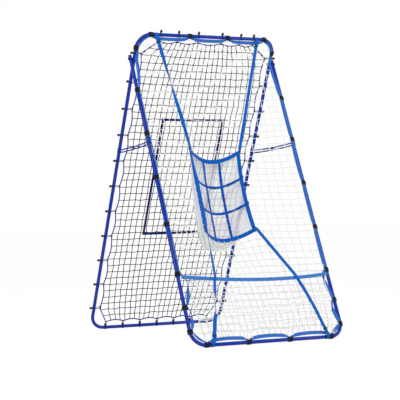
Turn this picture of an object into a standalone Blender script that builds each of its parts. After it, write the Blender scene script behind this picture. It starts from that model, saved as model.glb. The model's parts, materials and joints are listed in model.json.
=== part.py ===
"""Strike zone net: a folding A-frame of steel tube with a nine-hole pocket net in front and a net behind.

Metres, +Z up, +X to the right of a pitcher who looks along +Y. The floor is z = 0 and the hinge axis runs
along X above the origin. The back frame is a closed loop. The front frame is a U with its legs outside
the back frame's legs.
"""
from math import atan2, cos, pi, radians, sin, sqrt, tan

import bmesh
import bpy
from mathutils import Matrix, Vector

# Frames: the widths and the leg length are measured between centre-lines
FRONT_WIDTH = 1.000
TUBE_OD = 0.022
TUBE_WALL = 0.0015
HINGE_SPACE = 0.0016  # clear space between a front and a back leg at the hinge
LEG_LENGTH = 1.848  # hinge axis to the bottom tube
HALF_ANGLE = radians(24.2)  # each frame from the vertical, standing
ARCH_RISE = 0.160  # hinge axis to the top tube, in the back frame's plane
CORNER_RADIUS = 0.090
ELBOW_ARM = 0.030  # straight end of an elbow
ELBOW_STEPS = 5
LEG_JOINT = 0.850  # hinge axis to the joint of upper and lower leg
LEG_TOP = 0.022  # front leg above the hinge axis
SPIGOT_LENGTH = 0.026
TUBE_SIDES = 10
FOOT = 0.0137  # bottom tubes' centre-lines above the floor

# Clearances
GAP = 0.0003
BOLT_CLEARANCE = 0.0003

# Hinge bolt
BOLT_RADIUS = 0.004
BOLT_HEAD_RADIUS = 0.0085
BOLT_HEAD_HEIGHT = 0.0045
BOLT_HEAD_ROUNDING = 0.0026
BOLT_END = 0.003  # thread past the nut
BOLT_SIDES = 12
NUT_WIDTH = 0.013  # across its flats
NUT_HEIGHT = 0.0065
WASHER_RADIUS = 0.009
PLUG_HEIGHT = 0.003
PLUG_DEPTH = 0.012
PLUG_ROUNDING = 0.0018

# Border tape and its wraps
TAPE_WIDTH = 0.022
TAPE_THICKNESS = 0.0016
TAPE_INSET = 0.0175  # tube centre-line to the tape's centre-line
TAPE_LIFT = 0.0145  # tape in front of the tube's centre-line
TAPE_OVER_CORD = 0.0185  # the same where the tape lies over a bungee
TAPE_BOW = 0.010  # the tape's slack between two wraps
WRAP_LENGTH = 0.020
WRAP_THICKNESS = 0.0015
SIDE_WRAP_SHARES = (0.122, 0.284, 0.444, 0.606, 0.762, 0.871, 0.944)  # of the leg length, from the hinge
BOTTOM_WRAPS = 4
BOTTOM_WRAP_CORNER = 0.105  # leg's centre-line to the last wrap on the bottom tube
TOP_WRAP_SHARES = (0.277, 0.787)  # of half the back frame's width
SIDE_TOP_WRAP = 0.058  # above the hinge axis
WRAP_STEPS = 3  # flats round the tube's back
SIDE_TAPE_STEPS = 3  # between two wraps
TAPE_STEPS = 4

# Nets
NET_STRAND = 0.004
NET_SEAM = 0.006  # between the front net's pieces
STRAP_LIFT = 0.0070  # a strap in front of the net or hem that it crosses
NET_COLUMNS = 2  # of coarse cells, from a leg to the pocket
UPPER_ROWS = 4  # from the hinge to the pocket
LOWER_ROWS = 5  # from the pocket to the bottom tube
TOP_NET_TUCK = 0.011  # the middle line of the top net stays off the tape's slanted corner

# Nine-hole pocket, given by its outer edge
POCKET_HALF = 0.180
POCKET_TOP = 1.152  # height of its top corners
POCKET_BOTTOM = 0.644
POCKET_TOP_RECESS = 0.121  # top corners behind the front frame's plane, level
POCKET_BOTTOM_RECESS = 0.151
POCKET_SAG = 0.072  # middle of each level web below its ends
POCKET_PINCH = 0.011
POCKET_SIDE_RECESS = 0.018
POCKET_TOP_BULGE = 0.060
POCKET_BOTTOM_BULGE = 0.100
WEB_WIDTH = 0.022
WEB_THICKNESS = 0.0018
HOLES = 3
BAG_DEPTH = 0.095
BAG_HANG = 0.190  # lowest cloth below the place where it would hang flat
BAG_BILLOW = 0.018
BAG_THICKNESS = 0.0015
BAG_SEAT = 0.004  # level, from the webbing's middle to the bag's
BAG_SEAM = 0.0006  # from each quarter's edge to the middle of the seam

# Straps
STRAP_WIDTH = 0.020
STRAP_THICKNESS = 0.0016
TOP_STRAP_REACH = 0.340
BOTTOM_STRAP_REACH = 0.365
SPREAD_STRAP_FRONT = 0.570  # down the front leg from the hinge
SPREAD_STRAP_BACK = 0.598  # down the back leg
SPREAD_STRAP_THICKNESS = 0.003
SLIDER_LENGTH = 0.022
SLIDER_HEIGHT = 0.027
SLIDER_THICKNESS = 0.0075
SPREAD_STRAP_SAG = 0.006
SLOT_GAP = 0.0005
BUCKLE_SIZE = (0.026, 0.012, 0.006)
MOULDED_EDGE = 0.0012
STRAP_STEPS = 10
STRAP_TRIALS = 401  # places tried along a strap for the hem that it crosses
SPREAD_STRAP_STEPS = 8

# Ball trough
TROUGH_TOP = 0.411  # hem's ends above the bottom tube, up the legs
HEM_SAG = 0.029
HEM_FORWARD = 0.060
TROUGH_BELLY = 0.030
TROUGH_PINCH = 0.05
TROUGH_CORNER = 0.13
HEM_STEPS = 14

# Back net, its rope and the ball bungees
ROPE_RADIUS = 0.003
ROPE_INSET = 0.040  # tube centre-line to the rope at a bungee
ROPE_BOW = 0.011
CORD_RADIUS = 0.0021
BALL_RADIUS = 0.008
BALL_OUT = 0.0215  # tube centre-line to the ball's centre
FIRST_BALL_TURN = radians(60)  # turned to the rear, clear of the folding front leg
SIDE_BUNGEES = 10
FIRST_BUNGEE = 0.150
LAST_BUNGEE_UP = 0.148  # above the bottom tube, up the legs
UPPER_BUNGEE = 0.038  # above the hinge axis
BOTTOM_BUNGEES = 7
BOTTOM_BUNGEE_CORNER = 0.1014  # leg's centre-line to the last bungee on the bottom tube
TOP_BUNGEE_SHARES = (0.147, 0.420, 0.6675)  # of half the back frame's width
BUNGEE_STEPS = 4  # flats round the tube's back
BACK_NET_COLUMNS = 7
BACK_NET_ROWS = 12  # below the hinge
ZONE_TOP = 0.379  # down the back net from the hinge
ZONE_BOTTOM = 1.181
ZONE_HALF = 0.221
ZONE_TAPE = 0.012
ZONE_THICKNESS = 0.001

SIDES = ((-1, "left"), (1, "right"))

# Worked out from the sizes above
TUBE_R = TUBE_OD / 2
BACK_WIDTH = FRONT_WIDTH - 2 * (TUBE_OD + HINGE_SPACE)
FRONT_X = FRONT_WIDTH / 2
BACK_X = BACK_WIDTH / 2
HINGE_Z = LEG_LENGTH * cos(HALF_ANGLE) + FOOT
TROUGH_END = FRONT_X - TAPE_INSET + TAPE_WIDTH / 4
TROUGH_SEAT = (2 * WRAP_THICKNESS + NET_STRAND / 2 + GAP) / cos(HALF_ANGLE)  # in front of the wraps
BELOW_HEM = TAPE_WIDTH / 2 + NET_STRAND / 2 + GAP
HEM_RISE = TAPE_WIDTH / 2 * cos(HALF_ANGLE)
SIDE_WRAPS = [share * LEG_LENGTH for share in SIDE_WRAP_SHARES]
TOP_WRAPS = [share * BACK_X for share in TOP_WRAP_SHARES]
BOTTOM_WRAP_REACH = FRONT_X - BOTTOM_WRAP_CORNER
TOP_BUNGEES = [share * BACK_X for share in TOP_BUNGEE_SHARES]
BOTTOM_BUNGEE_REACH = BACK_X - BOTTOM_BUNGEE_CORNER
LAST_BUNGEE = LEG_LENGTH - LAST_BUNGEE_UP
TAPE_X = FRONT_X - TAPE_INSET
TAPE_END = 0.012  # the side tapes stop this far from the hinge's height
HEM_SEAT = TAPE_THICKNESS + GAP  # hem in front of the border tape
MOST_HANG = 4 / 27  # largest value of d * d * (1 - d)
NET_EDGE = TAPE_WIDTH / 2 + NET_STRAND / 2 + GAP  # tape's centre-line to the net's edge strand
POCKET_CLEAR = WEB_THICKNESS / 2 + NET_STRAND / 2 + 2 * GAP  # pocket's outline to the strand round it
NET_X = TAPE_X - TAPE_BOW - NET_EDGE  # the front net's edge strand
FRONT = Matrix.Translation((0, 0, HINGE_Z)) @ Matrix.Rotation(pi / 2 - HALF_ANGLE, 4, "X")
BACK = Matrix.Translation((0, 0, HINGE_Z)) @ Matrix.Rotation(pi / 2 + HALF_ANGLE, 4, "X")


# Scene, materials and helpers
def clear_scene():
    for item in list(bpy.data.objects):
        bpy.data.objects.remove(item, do_unlink=True)


def new_collection(name):
    collection = bpy.data.collections.new(name)
    bpy.context.scene.collection.children.link(collection)
    return collection


def material(name, colour, roughness, metallic=0.0):
    result = bpy.data.materials.new(name)
    result.use_nodes = True
    shader = result.node_tree.nodes["Principled BSDF"]
    shader.inputs["Base Color"].default_value = (*colour, 1)
    shader.inputs["Roughness"].default_value = roughness
    shader.inputs["Metallic"].default_value = metallic
    result.diffuse_color = (*colour, 1)
    return result


def panel(name, matrix):
    """An empty on the hinge axis: local Y runs up the frame, local Z points forwards."""
    empty = bpy.data.objects.new(name, None)
    PART.objects.link(empty)
    empty.matrix_world = matrix
    return empty


def fresh(name, collection):
    """Name the primitive just added and move it to a collection."""
    item = bpy.context.object
    item.name = name
    for owner in list(item.users_collection):
        owner.objects.unlink(item)
    collection.objects.link(item)
    return item


def finish(item, parent, look, smooth=None):
    item.parent = parent
    if item.data.materials:
        item.data.materials[0] = look
    else:
        item.data.materials.append(look)
    if smooth:
        item.data.shade_smooth()
        item.data.set_sharp_from_angle(angle=radians(smooth))
    return item


def mesh_of(source):
    """Replace a curve, or an object with modifiers, by its welded mesh, keeping its name and place."""
    name = source.name
    bpy.context.view_layer.update()
    evaluated = source.evaluated_get(bpy.context.evaluated_depsgraph_get())
    data = bpy.data.meshes.new_from_object(evaluated)
    place = source.matrix_world.copy()
    owner = source.users_collection[0]
    bpy.data.objects.remove(source, do_unlink=True)
    weld(data)
    item = bpy.data.objects.new(name, data)
    owner.objects.link(item)
    item.matrix_world = place
    return item


def weld(data):
    """Merge a mesh's doubled corners and point its faces outwards."""
    shape = bmesh.new()
    shape.from_mesh(data)
    bmesh.ops.remove_doubles(shape, verts=shape.verts, dist=1e-5)
    bmesh.ops.recalc_face_normals(shape, faces=shape.faces)
    shape.to_mesh(data)
    shape.free()


def joined(name, items, collection):
    """Join mesh objects into one object, in world space."""
    shape = bmesh.new()
    for item in items:
        bpy.context.view_layer.update()
        copy = item.data.copy()
        copy.transform(item.matrix_world)
        shape.from_mesh(copy)
        bpy.data.meshes.remove(copy)
        bpy.data.objects.remove(item, do_unlink=True)
    data = bpy.data.meshes.new(name)
    shape.to_mesh(data)
    shape.free()
    result = bpy.data.objects.new(name, data)
    collection.objects.link(result)
    return result


def cutter(item):
    item.hide_render = True
    item.display_type = "WIRE"
    return item


def boolean(item, other, operation, self_crossing=False):
    modifier = item.modifiers.new(operation.title(), "BOOLEAN")
    modifier.operation = operation
    modifier.solver = "EXACT"
    modifier.use_self = self_crossing
    modifier.object = cutter(other)


def solidify(item, thickness, offset=0.0):
    modifier = item.modifiers.new("Thickness", "SOLIDIFY")
    modifier.thickness = thickness
    modifier.offset = offset
    modifier.use_even_offset = True
    modifier.use_rim = True


def path_curve(name, points, collection, radius, sides_res=0, cyclic=False, caps=True):
    data = bpy.data.curves.new(name, "CURVE")
    data.dimensions = "3D"
    data.bevel_depth = radius
    data.bevel_resolution = sides_res
    data.use_fill_caps = caps
    spline = data.splines.new("POLY")
    spline.points.add(len(points) - 1)
    for place, point in zip(spline.points, points):
        place.co = (*point, 1)
    spline.use_cyclic_u = cyclic
    item = bpy.data.objects.new(name, data)
    collection.objects.link(item)
    return item


def turned(name, profile, steps, collection):
    """Turn a closed profile of (radius, height) points, outer side downwards, about local Z."""
    data = bpy.data.meshes.new(name)
    count = len(profile)
    closed = profile[0][0] > 0
    edges = [(i, (i + 1) % count) for i in range(count if closed else count - 1)]
    data.from_pydata([(r, 0, z) for r, z in profile], edges, [])
    item = bpy.data.objects.new(name, data)
    collection.objects.link(item)
    screw = item.modifiers.new("Turn", "SCREW")
    screw.angle = 2 * pi
    screw.steps = steps
    screw.render_steps = steps
    screw.use_merge_vertices = True
    screw.merge_threshold = 1e-5
    screw.use_smooth_shade = False
    return item


def sheet(name, across, along, place, collection, skip=None):
    """A grid whose corners are put in place by a function of two fractions, 0 to 1."""
    shape = bmesh.new()
    bmesh.ops.create_grid(shape, x_segments=across, y_segments=along, size=0.5)
    for vert in shape.verts:
        vert.co.x += 0.5
        vert.co.y += 0.5
    if skip:
        holes = [f for f in shape.faces if skip(f.calc_center_median())]
        bmesh.ops.delete(shape, geom=holes, context="FACES")
    for vert in shape.verts:
        vert.co = place(vert.co.x, vert.co.y)
    data = bpy.data.meshes.new(name)
    shape.to_mesh(data)
    shape.free()
    item = bpy.data.objects.new(name, data)
    collection.objects.link(item)
    return item


def hang(item, parent, look, smooth=None):
    """Parent an object whose mesh is in world space, with its origin on the hinge axis."""
    item.data.transform(parent.matrix_world.inverted())
    return finish(item, parent, look, smooth)


def spread(first, last, count):
    return [first + (last - first) * i / (count - 1) for i in range(count)]


def stations(knots, between):
    """Knots with evenly spaced stations between each pair, as (position, share of the way to the next)."""
    result = []
    for first, last in zip(knots, knots[1:]):
        result += [(first + (last - first) * i / between, i / between) for i in range(between)]
    return result + [(knots[-1], 0.0)]


def lerp_table(table, value):
    """Straight lines through (value, result) pairs that rise."""
    if value <= table[0][0]:
        return table[0][1]
    for (v0, r0), (v1, r1) in zip(table, table[1:]):
        if value <= v1:
            return r0 + (r1 - r0) * (value - v0) / (v1 - v0)
    return table[-1][1]


# Tubes
def straight_tube(name, parent, start, end, spigots):
    """A hollow tube from start to end, with a swaged spigot past the ends named in spigots."""
    start, end = Vector(start), Vector(end)
    length = (end - start).length
    inner = TUBE_R - TUBE_WALL
    neck = TUBE_R * cos(pi / TUBE_SIDES) - TUBE_WALL - GAP
    bore = neck - TUBE_WALL
    low, high = GAP / 2, length - GAP / 2
    outer_side = [(TUBE_R, high), (TUBE_R, low)]
    inner_side = [(inner, low), (inner, high)]
    if "end" in spigots:
        outer_side = [(neck, high + SPIGOT_LENGTH), (neck, high)] + outer_side
        inner_side = inner_side[:-1] + [(inner, high - TUBE_WALL), (bore, high), (bore, high + SPIGOT_LENGTH)]
    if "start" in spigots:
        outer_side += [(neck, low), (neck, low - SPIGOT_LENGTH)]
        inner_side = [(bore, low - SPIGOT_LENGTH), (bore, low), (inner, low + TUBE_WALL)] + inner_side[1:]
    item = turned(name, outer_side + inner_side, TUBE_SIDES, PART)
    item.location = start
    item.rotation_mode = "QUATERNION"
    item.rotation_quaternion = Vector((0, 0, 1)).rotation_difference(end - start)
    return finish(item, parent, BLUE_STEEL, 40)


def elbow(name, parent, corner, side, up):
    """A bent tube in the frame's plane: side and up are +1 or -1 towards the middle and along the leg."""
    x, y = corner
    centre = (x + side * CORNER_RADIUS, y + up * CORNER_RADIUS)
    points = [(x, centre[1] + up * (ELBOW_ARM - GAP / 2), 0)]
    for i in range(ELBOW_STEPS + 1):
        turn = pi / 2 * i / ELBOW_STEPS
        x_in, y_in = side * CORNER_RADIUS * cos(turn), up * CORNER_RADIUS * sin(turn)
        points.append((centre[0] - x_in, centre[1] - y_in, 0))
    points.append((centre[0] + side * (ELBOW_ARM - GAP / 2), y, 0))
    item = path_curve(name, points, PART, radius=TUBE_R, sides_res=TUBE_SIDES // 2 - 2, caps=False)
    item = mesh_of(item)
    solidify(item, TUBE_WALL, -1)
    return finish(item, parent, BLUE_STEEL, 40)


def drilled(leg, side):
    """Drill the hinge bolt's hole through an upper leg."""
    bpy.ops.mesh.primitive_cylinder_add(vertices=BOLT_SIDES, radius=BOLT_RADIUS + BOLT_CLEARANCE,
                                        depth=4 * TUBE_OD, rotation=(0, pi / 2, 0),
                                        location=(side * FRONT_X, 0, HINGE_Z))
    boolean(leg, fresh(leg.name + "_drill", CUTTERS), "DIFFERENCE")


def frame_tubes():
    run = LEG_LENGTH - CORNER_RADIUS - ELBOW_ARM
    reach = CORNER_RADIUS + ELBOW_ARM
    for side, word in SIDES:
        x = side * FRONT_X
        leg = straight_tube("front_upper_leg_" + word, front, (x, LEG_TOP, 0), (x, -LEG_JOINT, 0), ())
        drilled(leg, side)
        straight_tube("front_lower_leg_" + word, front, (x, -LEG_JOINT, 0), (x, -run, 0), ("start", "end"))
        elbow("front_elbow_" + word, front, (x, -LEG_LENGTH), -side, 1)
        x = side * BACK_X
        top, joint = (x, ARCH_RISE - reach, 0), (x, -LEG_JOINT, 0)
        leg = straight_tube("back_upper_leg_" + word, back, top, joint, ("start",))
        drilled(leg, side)
        straight_tube("back_lower_leg_" + word, back, (x, -LEG_JOINT, 0), (x, -run, 0), ("start", "end"))
        elbow("back_elbow_" + word, back, (x, -LEG_LENGTH), -side, 1)
        elbow("top_elbow_" + word, back, (x, ARCH_RISE), -side, -1)
    ends = ("start", "end")
    span = FRONT_X - reach
    straight_tube("front_bottom_tube", front, (-span, -LEG_LENGTH, 0), (span, -LEG_LENGTH, 0), ends)
    span = BACK_X - reach
    straight_tube("back_bottom_tube", back, (-span, -LEG_LENGTH, 0), (span, -LEG_LENGTH, 0), ends)
    straight_tube("top_tube", back, (-span, ARCH_RISE, 0), (span, ARCH_RISE, 0), ends)


# Hinge hardware
def hinge_parts():
    outside = FRONT_X + TUBE_R + GAP
    inside = BACK_X - TUBE_R - GAP
    stem = outside - inside + NUT_HEIGHT + BOLT_END
    dome = [(0, BOLT_HEAD_HEIGHT), (BOLT_HEAD_RADIUS - BOLT_HEAD_ROUNDING, BOLT_HEAD_HEIGHT),
            (BOLT_HEAD_RADIUS, BOLT_HEAD_HEIGHT - BOLT_HEAD_ROUNDING), (BOLT_HEAD_RADIUS, 0)]
    bolt_profile = dome + [(BOLT_RADIUS, 0), (BOLT_RADIUS, -stem), (0, -stem)]
    washer_half = HINGE_SPACE / 2 - GAP
    bore = BOLT_RADIUS + BOLT_CLEARANCE
    washer_profile = [(WASHER_RADIUS, washer_half), (WASHER_RADIUS, -washer_half), (bore, -washer_half),
                      (bore, washer_half)]
    plug_r = TUBE_R * cos(pi / TUBE_SIDES) - TUBE_WALL - GAP
    cap = [(0, PLUG_HEIGHT), (TUBE_R - PLUG_ROUNDING, PLUG_HEIGHT), (TUBE_R, PLUG_HEIGHT - PLUG_ROUNDING)]
    plug_profile = cap + [(TUBE_R, GAP), (plug_r, GAP), (plug_r, -PLUG_DEPTH), (0, -PLUG_DEPTH)]
    for side, word in SIDES:
        bolt = turned("hinge_bolt_" + word, bolt_profile, BOLT_SIDES, PART)
        bolt.location = (side * outside, 0, 0)
        bolt.rotation_euler = (0, side * pi / 2, 0)
        finish(bolt, back, BLACK_PLASTIC, 40)
        washer = turned("hinge_washer_" + word, washer_profile, BOLT_SIDES, PART)
        washer.location = (side * (BACK_X + TUBE_R + HINGE_SPACE / 2), 0, 0)
        washer.rotation_euler = (0, pi / 2, 0)
        finish(washer, back, BLACK_PLASTIC, 40)
        nut_start = inside - NUT_HEIGHT
        bpy.ops.mesh.primitive_cylinder_add(vertices=6, radius=NUT_WIDTH / 2 / cos(pi / 6), depth=NUT_HEIGHT,
                                            rotation=(0, pi / 2, 0),
                                            location=(side * (nut_start + NUT_HEIGHT / 2), 0, 0))
        nut = fresh("hinge_nut_" + word, PART)
        bpy.ops.mesh.primitive_cylinder_add(vertices=BOLT_SIDES, radius=bore, depth=3 * NUT_HEIGHT,
                                            rotation=(0, pi / 2, 0),
                                            location=(side * (nut_start + NUT_HEIGHT / 2), 0, HINGE_Z))
        hole = fresh("hinge_nut_bore_" + word, CUTTERS)
        finish(nut, back, ZINC)
        boolean(nut, hole, "DIFFERENCE")
        plug = turned("leg_plug_" + word, plug_profile, TUBE_SIDES, PART)
        plug.location = (side * FRONT_X, LEG_TOP, 0)
        plug.rotation_euler = (-pi / 2, 0, 0)
        finish(plug, front, BLACK_PLASTIC, 40)


# Surfaces of the front net
def frame_y(z):
    """Plane of the front legs below the hinge, and of the arch above it."""
    return -abs(HINGE_Z - z) * tan(HALF_ANGLE) - TAPE_LIFT / cos(HALF_ANGLE)


def middle_y(z):
    """Line of the net's middle: top tape, pocket corners, bottom tape."""
    bottom = tape_height(LEG_LENGTH - 2 * TAPE_INSET)
    top = tape_height(2 * TAPE_INSET - ARCH_RISE)
    if not bottom < z < top:
        return frame_y(z)
    table = [(bottom, frame_y(bottom)),
             (POCKET_BOTTOM, (POCKET_BOTTOM - HINGE_Z) * tan(HALF_ANGLE) + POCKET_BOTTOM_RECESS),
             (POCKET_TOP, (POCKET_TOP - HINGE_Z) * tan(HALF_ANGLE) + POCKET_TOP_RECESS),
             (top, frame_y(top))]
    return lerp_table(table, z)


def net_y(x, z):
    share = (NET_X - abs(x)) / (NET_X - POCKET_HALF)
    share = min(1.0, max(0.0, share))
    return frame_y(z) + share * (middle_y(z) - frame_y(z))


def net_point(x, z, lift=0.0):
    return Vector((x, net_y(x, z) - lift, z))


def tape_height(down):
    """Height of a place on the tape's plane: down the leg from the hinge axis or, below 0, up the arch."""
    rise = TAPE_LIFT * sin(HALF_ANGLE)
    return HINGE_Z - down * cos(HALF_ANGLE) + (rise if down > 0 else -rise)


def hem_centre(x):
    crown = 1 - (x / TROUGH_END) ** 2
    z = tape_height(LEG_LENGTH - TROUGH_TOP) - HEM_SAG * crown
    return Vector((x, frame_y(z) - HEM_SEAT / cos(HALF_ANGLE) - HEM_FORWARD * crown, z))


def trough_out(x, share):
    """The trough's net in front of the frame's plane: share is 0 under the hem, 1 at the bottom tape."""
    crown = max(0.0, 1 - (x / TROUGH_END) ** 2)
    return TROUGH_SEAT + HEM_FORWARD * crown * (1 - share) + TROUGH_BELLY * sin(pi * share) * crown


def front_y(x, z):
    """Foremost cloth at a place: the hem and trough up to the hem's top edge, the front net above."""
    hem = hem_centre(x)
    if z > hem.z + HEM_RISE:
        return net_y(x, z)
    high, low = hem.z - HEM_RISE, tape_height(LEG_LENGTH - TAPE_INSET)
    share = min(1.0, max(0.0, (high - z) / (high - low)))
    return frame_y(z) - trough_out(x, share)


def pocket_point(across, down, lift=0.0):
    """Place on the pocket: across is -1 to 1, down is 0 to 1."""
    z = POCKET_TOP + (POCKET_BOTTOM - POCKET_TOP) * down
    hollow = 4 * down * (1 - down) if 0 <= down <= 1 else 0.0
    crown = max(0.0, 1 - across * across)
    bulge = POCKET_TOP_BULGE + (POCKET_BOTTOM_BULGE - POCKET_TOP_BULGE) * down
    x = across * (POCKET_HALF - POCKET_PINCH * hollow)
    y = middle_y(z) + POCKET_SIDE_RECESS * hollow + bulge * crown - lift
    return Vector((x, y, z - POCKET_SAG * crown))


# Wraps, loops and tapes
def loop_path(reach, lift, radius, far_radius, steps):
    """Outline round a tube at the origin and a tape or rope at (reach, lift), as (x, y) pairs."""
    angle = atan2(lift, reach)
    wide = radius / cos(pi / 2 / steps)
    near = [angle + pi / 2 + pi * i / steps for i in range(steps + 1)]
    points = [(wide * cos(a), wide * sin(a)) for a in near]
    if not far_radius:
        return points + [(reach, lift)]
    ends = [angle - pi / 2, angle + pi / 2]
    return points + [(reach + far_radius * cos(a), lift + far_radius * sin(a)) for a in ends]


def place_on(panel_matrix, x, y, inward):
    """Matrix at a place on a frame's plane: local X inward, local Y forwards, local Z along the tube."""
    inward = Vector((*inward, 0))
    forward = Vector((0, 0, 1))
    basis = Matrix((inward, forward, inward.cross(forward))).transposed().to_4x4()
    return panel_matrix @ Matrix.Translation((x, y, 0)) @ basis


def closed_band(place, outline, thickness, length):
    """A band of webbing whose inner side follows a closed outline round a tube."""
    count = len(outline)

    def station(across, along):
        x, y = outline[round(along * count) % count]
        return place @ Vector((x, y, (across - 0.5) * length))

    item = sheet("band", 1, count, station, CUTTERS)
    weld(item.data)
    solidify(item, thickness, 1)
    return mesh_of(item)


def band(place, reach, lift, thickness, length):
    """A strap's loop round a tube, closed on the tape beside it."""
    outline = loop_path(reach, lift, TUBE_R + GAP, thickness, WRAP_STEPS)
    return closed_band(place, outline, thickness, length)


def ring_band(place, thickness, length):
    """A round band on a tube."""
    radius = (TUBE_R + GAP) / cos(pi / TUBE_SIDES)
    angles = [2 * pi * i / TUBE_SIDES for i in range(TUBE_SIDES)]
    return closed_band(place, [(radius * cos(a), radius * sin(a)) for a in angles], thickness, length)


def tape(name, centres, widths, thickness, collection, width):
    """A flat tape through centres, each with its own unit vector across the tape."""
    count = len(centres) - 1

    def station(across, along):
        i = round(along * count)
        return centres[i] + widths[i] * (across - 0.5) * width

    item = sheet(name, 1, count, station, collection)
    solidify(item, thickness)
    return item


def fuse(name, main, others, parent, look, smooth=None):
    """Join pieces that cross each other into one body."""
    union = joined(name + "_pieces", others, CUTTERS)
    boolean(main, union, "UNION", True)
    main.name = name
    return hang(main, parent, look, smooth)


def floor_cut(item):
    size = 4 * FRONT_WIDTH
    bpy.ops.mesh.primitive_cube_add(size=size, location=(0, 0, -size / 2))
    boolean(item, fresh(item.name + "_floor", CUTTERS), "DIFFERENCE")


def bow(share, depth):
    return depth * sin(pi * share)


# Border of the front net
def side_border(side, word):
    """Tape down a front leg, then straight across the rounded corner."""
    centres, widths = [], []
    for down, share in stations([TAPE_END] + SIDE_WRAPS, SIDE_TAPE_STEPS):
        x = side * (TAPE_X - bow(share, TAPE_BOW))
        centres.append(FRONT @ Vector((x, -down, TAPE_LIFT)))
        widths.append(Vector((side, 0, 0)))
    corner = Vector((side * (BOTTOM_WRAP_REACH + WRAP_LENGTH), -LEG_LENGTH + TAPE_INSET, TAPE_LIFT))
    centres.append(FRONT @ corner)
    widths.append(FRONT.to_3x3() @ Vector((0, -1, 0)))
    strip = tape("border_" + word, centres, widths, TAPE_THICKNESS, PART, TAPE_WIDTH)
    loops = []
    for down in SIDE_WRAPS:
        place = place_on(FRONT, side * FRONT_X, -down, (-side, 0))
        loops.append(band(place, TAPE_INSET, TAPE_LIFT, WRAP_THICKNESS, WRAP_LENGTH))
    fuse("border_" + word, strip, loops, front, BORDER_BLUE)


def bottom_border():
    wraps = spread(-BOTTOM_WRAP_REACH, BOTTOM_WRAP_REACH, BOTTOM_WRAPS)
    end = BOTTOM_WRAP_REACH + WRAP_LENGTH - GAP * 2
    centres = [FRONT @ Vector((-end, -LEG_LENGTH + TAPE_INSET, TAPE_LIFT))]
    for x, share in stations(wraps, TAPE_STEPS):
        y = -LEG_LENGTH + TAPE_INSET + bow(share, TAPE_BOW)
        centres.append(FRONT @ Vector((x, y, TAPE_LIFT)))
    centres.append(FRONT @ Vector((end, -LEG_LENGTH + TAPE_INSET, TAPE_LIFT)))
    up = FRONT.to_3x3() @ Vector((0, 1, 0))
    strip = tape("border_bottom", centres, [up] * len(centres), TAPE_THICKNESS, PART, TAPE_WIDTH)
    loops = []
    for x in wraps:
        place = place_on(FRONT, x, -LEG_LENGTH, (0, 1))
        loops.append(band(place, TAPE_INSET, TAPE_LIFT, WRAP_THICKNESS, WRAP_LENGTH))
    item = fuse("border_bottom", strip, loops, front, BORDER_BLUE)
    floor_cut(item)


def top_border():
    """Tape round the arch of the back frame: up one side, along the top tube and down the other side."""
    top = ARCH_RISE - TAPE_INSET
    inner = BACK_X - TAPE_INSET
    wraps = [-x for x in reversed(TOP_WRAPS)] + TOP_WRAPS
    along_top = [(x, top - bow(share, TAPE_BOW)) for x, share in stations(wraps, TAPE_STEPS)]
    rising = ((TAPE_X, TAPE_END, TAPE_LIFT, 0), ((TAPE_X + inner) / 2, UPPER_BUNGEE, TAPE_OVER_CORD, 0),
              (inner, SIDE_TOP_WRAP, TAPE_LIFT, pi / 4))
    centres = [BACK @ Vector((-x, y, lift)) for x, y, lift, _ in rising]
    centres += [BACK @ Vector((x, y, TAPE_LIFT)) for x, y in along_top]
    centres += [BACK @ Vector((x, y, lift)) for x, y, lift, _ in reversed(rising)]
    turn = BACK.to_3x3()
    widths = [turn @ Vector((-cos(slant), sin(slant), 0)) for *_, slant in rising]
    widths += [turn @ Vector((0, 1, 0))] * len(along_top)
    widths += [turn @ Vector((cos(slant), sin(slant), 0)) for *_, slant in reversed(rising)]
    strip = tape("border_top", centres, widths, TAPE_THICKNESS, PART, TAPE_WIDTH)
    places = [place_on(BACK, x, ARCH_RISE, (0, -1)) for x in wraps]
    places += [place_on(BACK, s * BACK_X, SIDE_TOP_WRAP, (-s, 0)) for s in (-1, 1)]
    loops = [band(p, TAPE_INSET, TAPE_LIFT, WRAP_THICKNESS, WRAP_LENGTH) for p in places]
    fuse("border_top", strip, loops, back, BORDER_BLUE)


# Nets
def wire(item):
    modifier = item.modifiers.new("Strands", "WIREFRAME")
    modifier.thickness = NET_STRAND
    modifier.use_boundary = True
    modifier.use_even_offset = True
    modifier.use_replace = True


def front_columns():
    inner = POCKET_HALF + POCKET_CLEAR
    left = spread(-NET_X, -inner, NET_COLUMNS + 1)
    return left + spread(-inner, inner, HOLES + 1)[1:-1] + [-x for x in reversed(left)]


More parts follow.
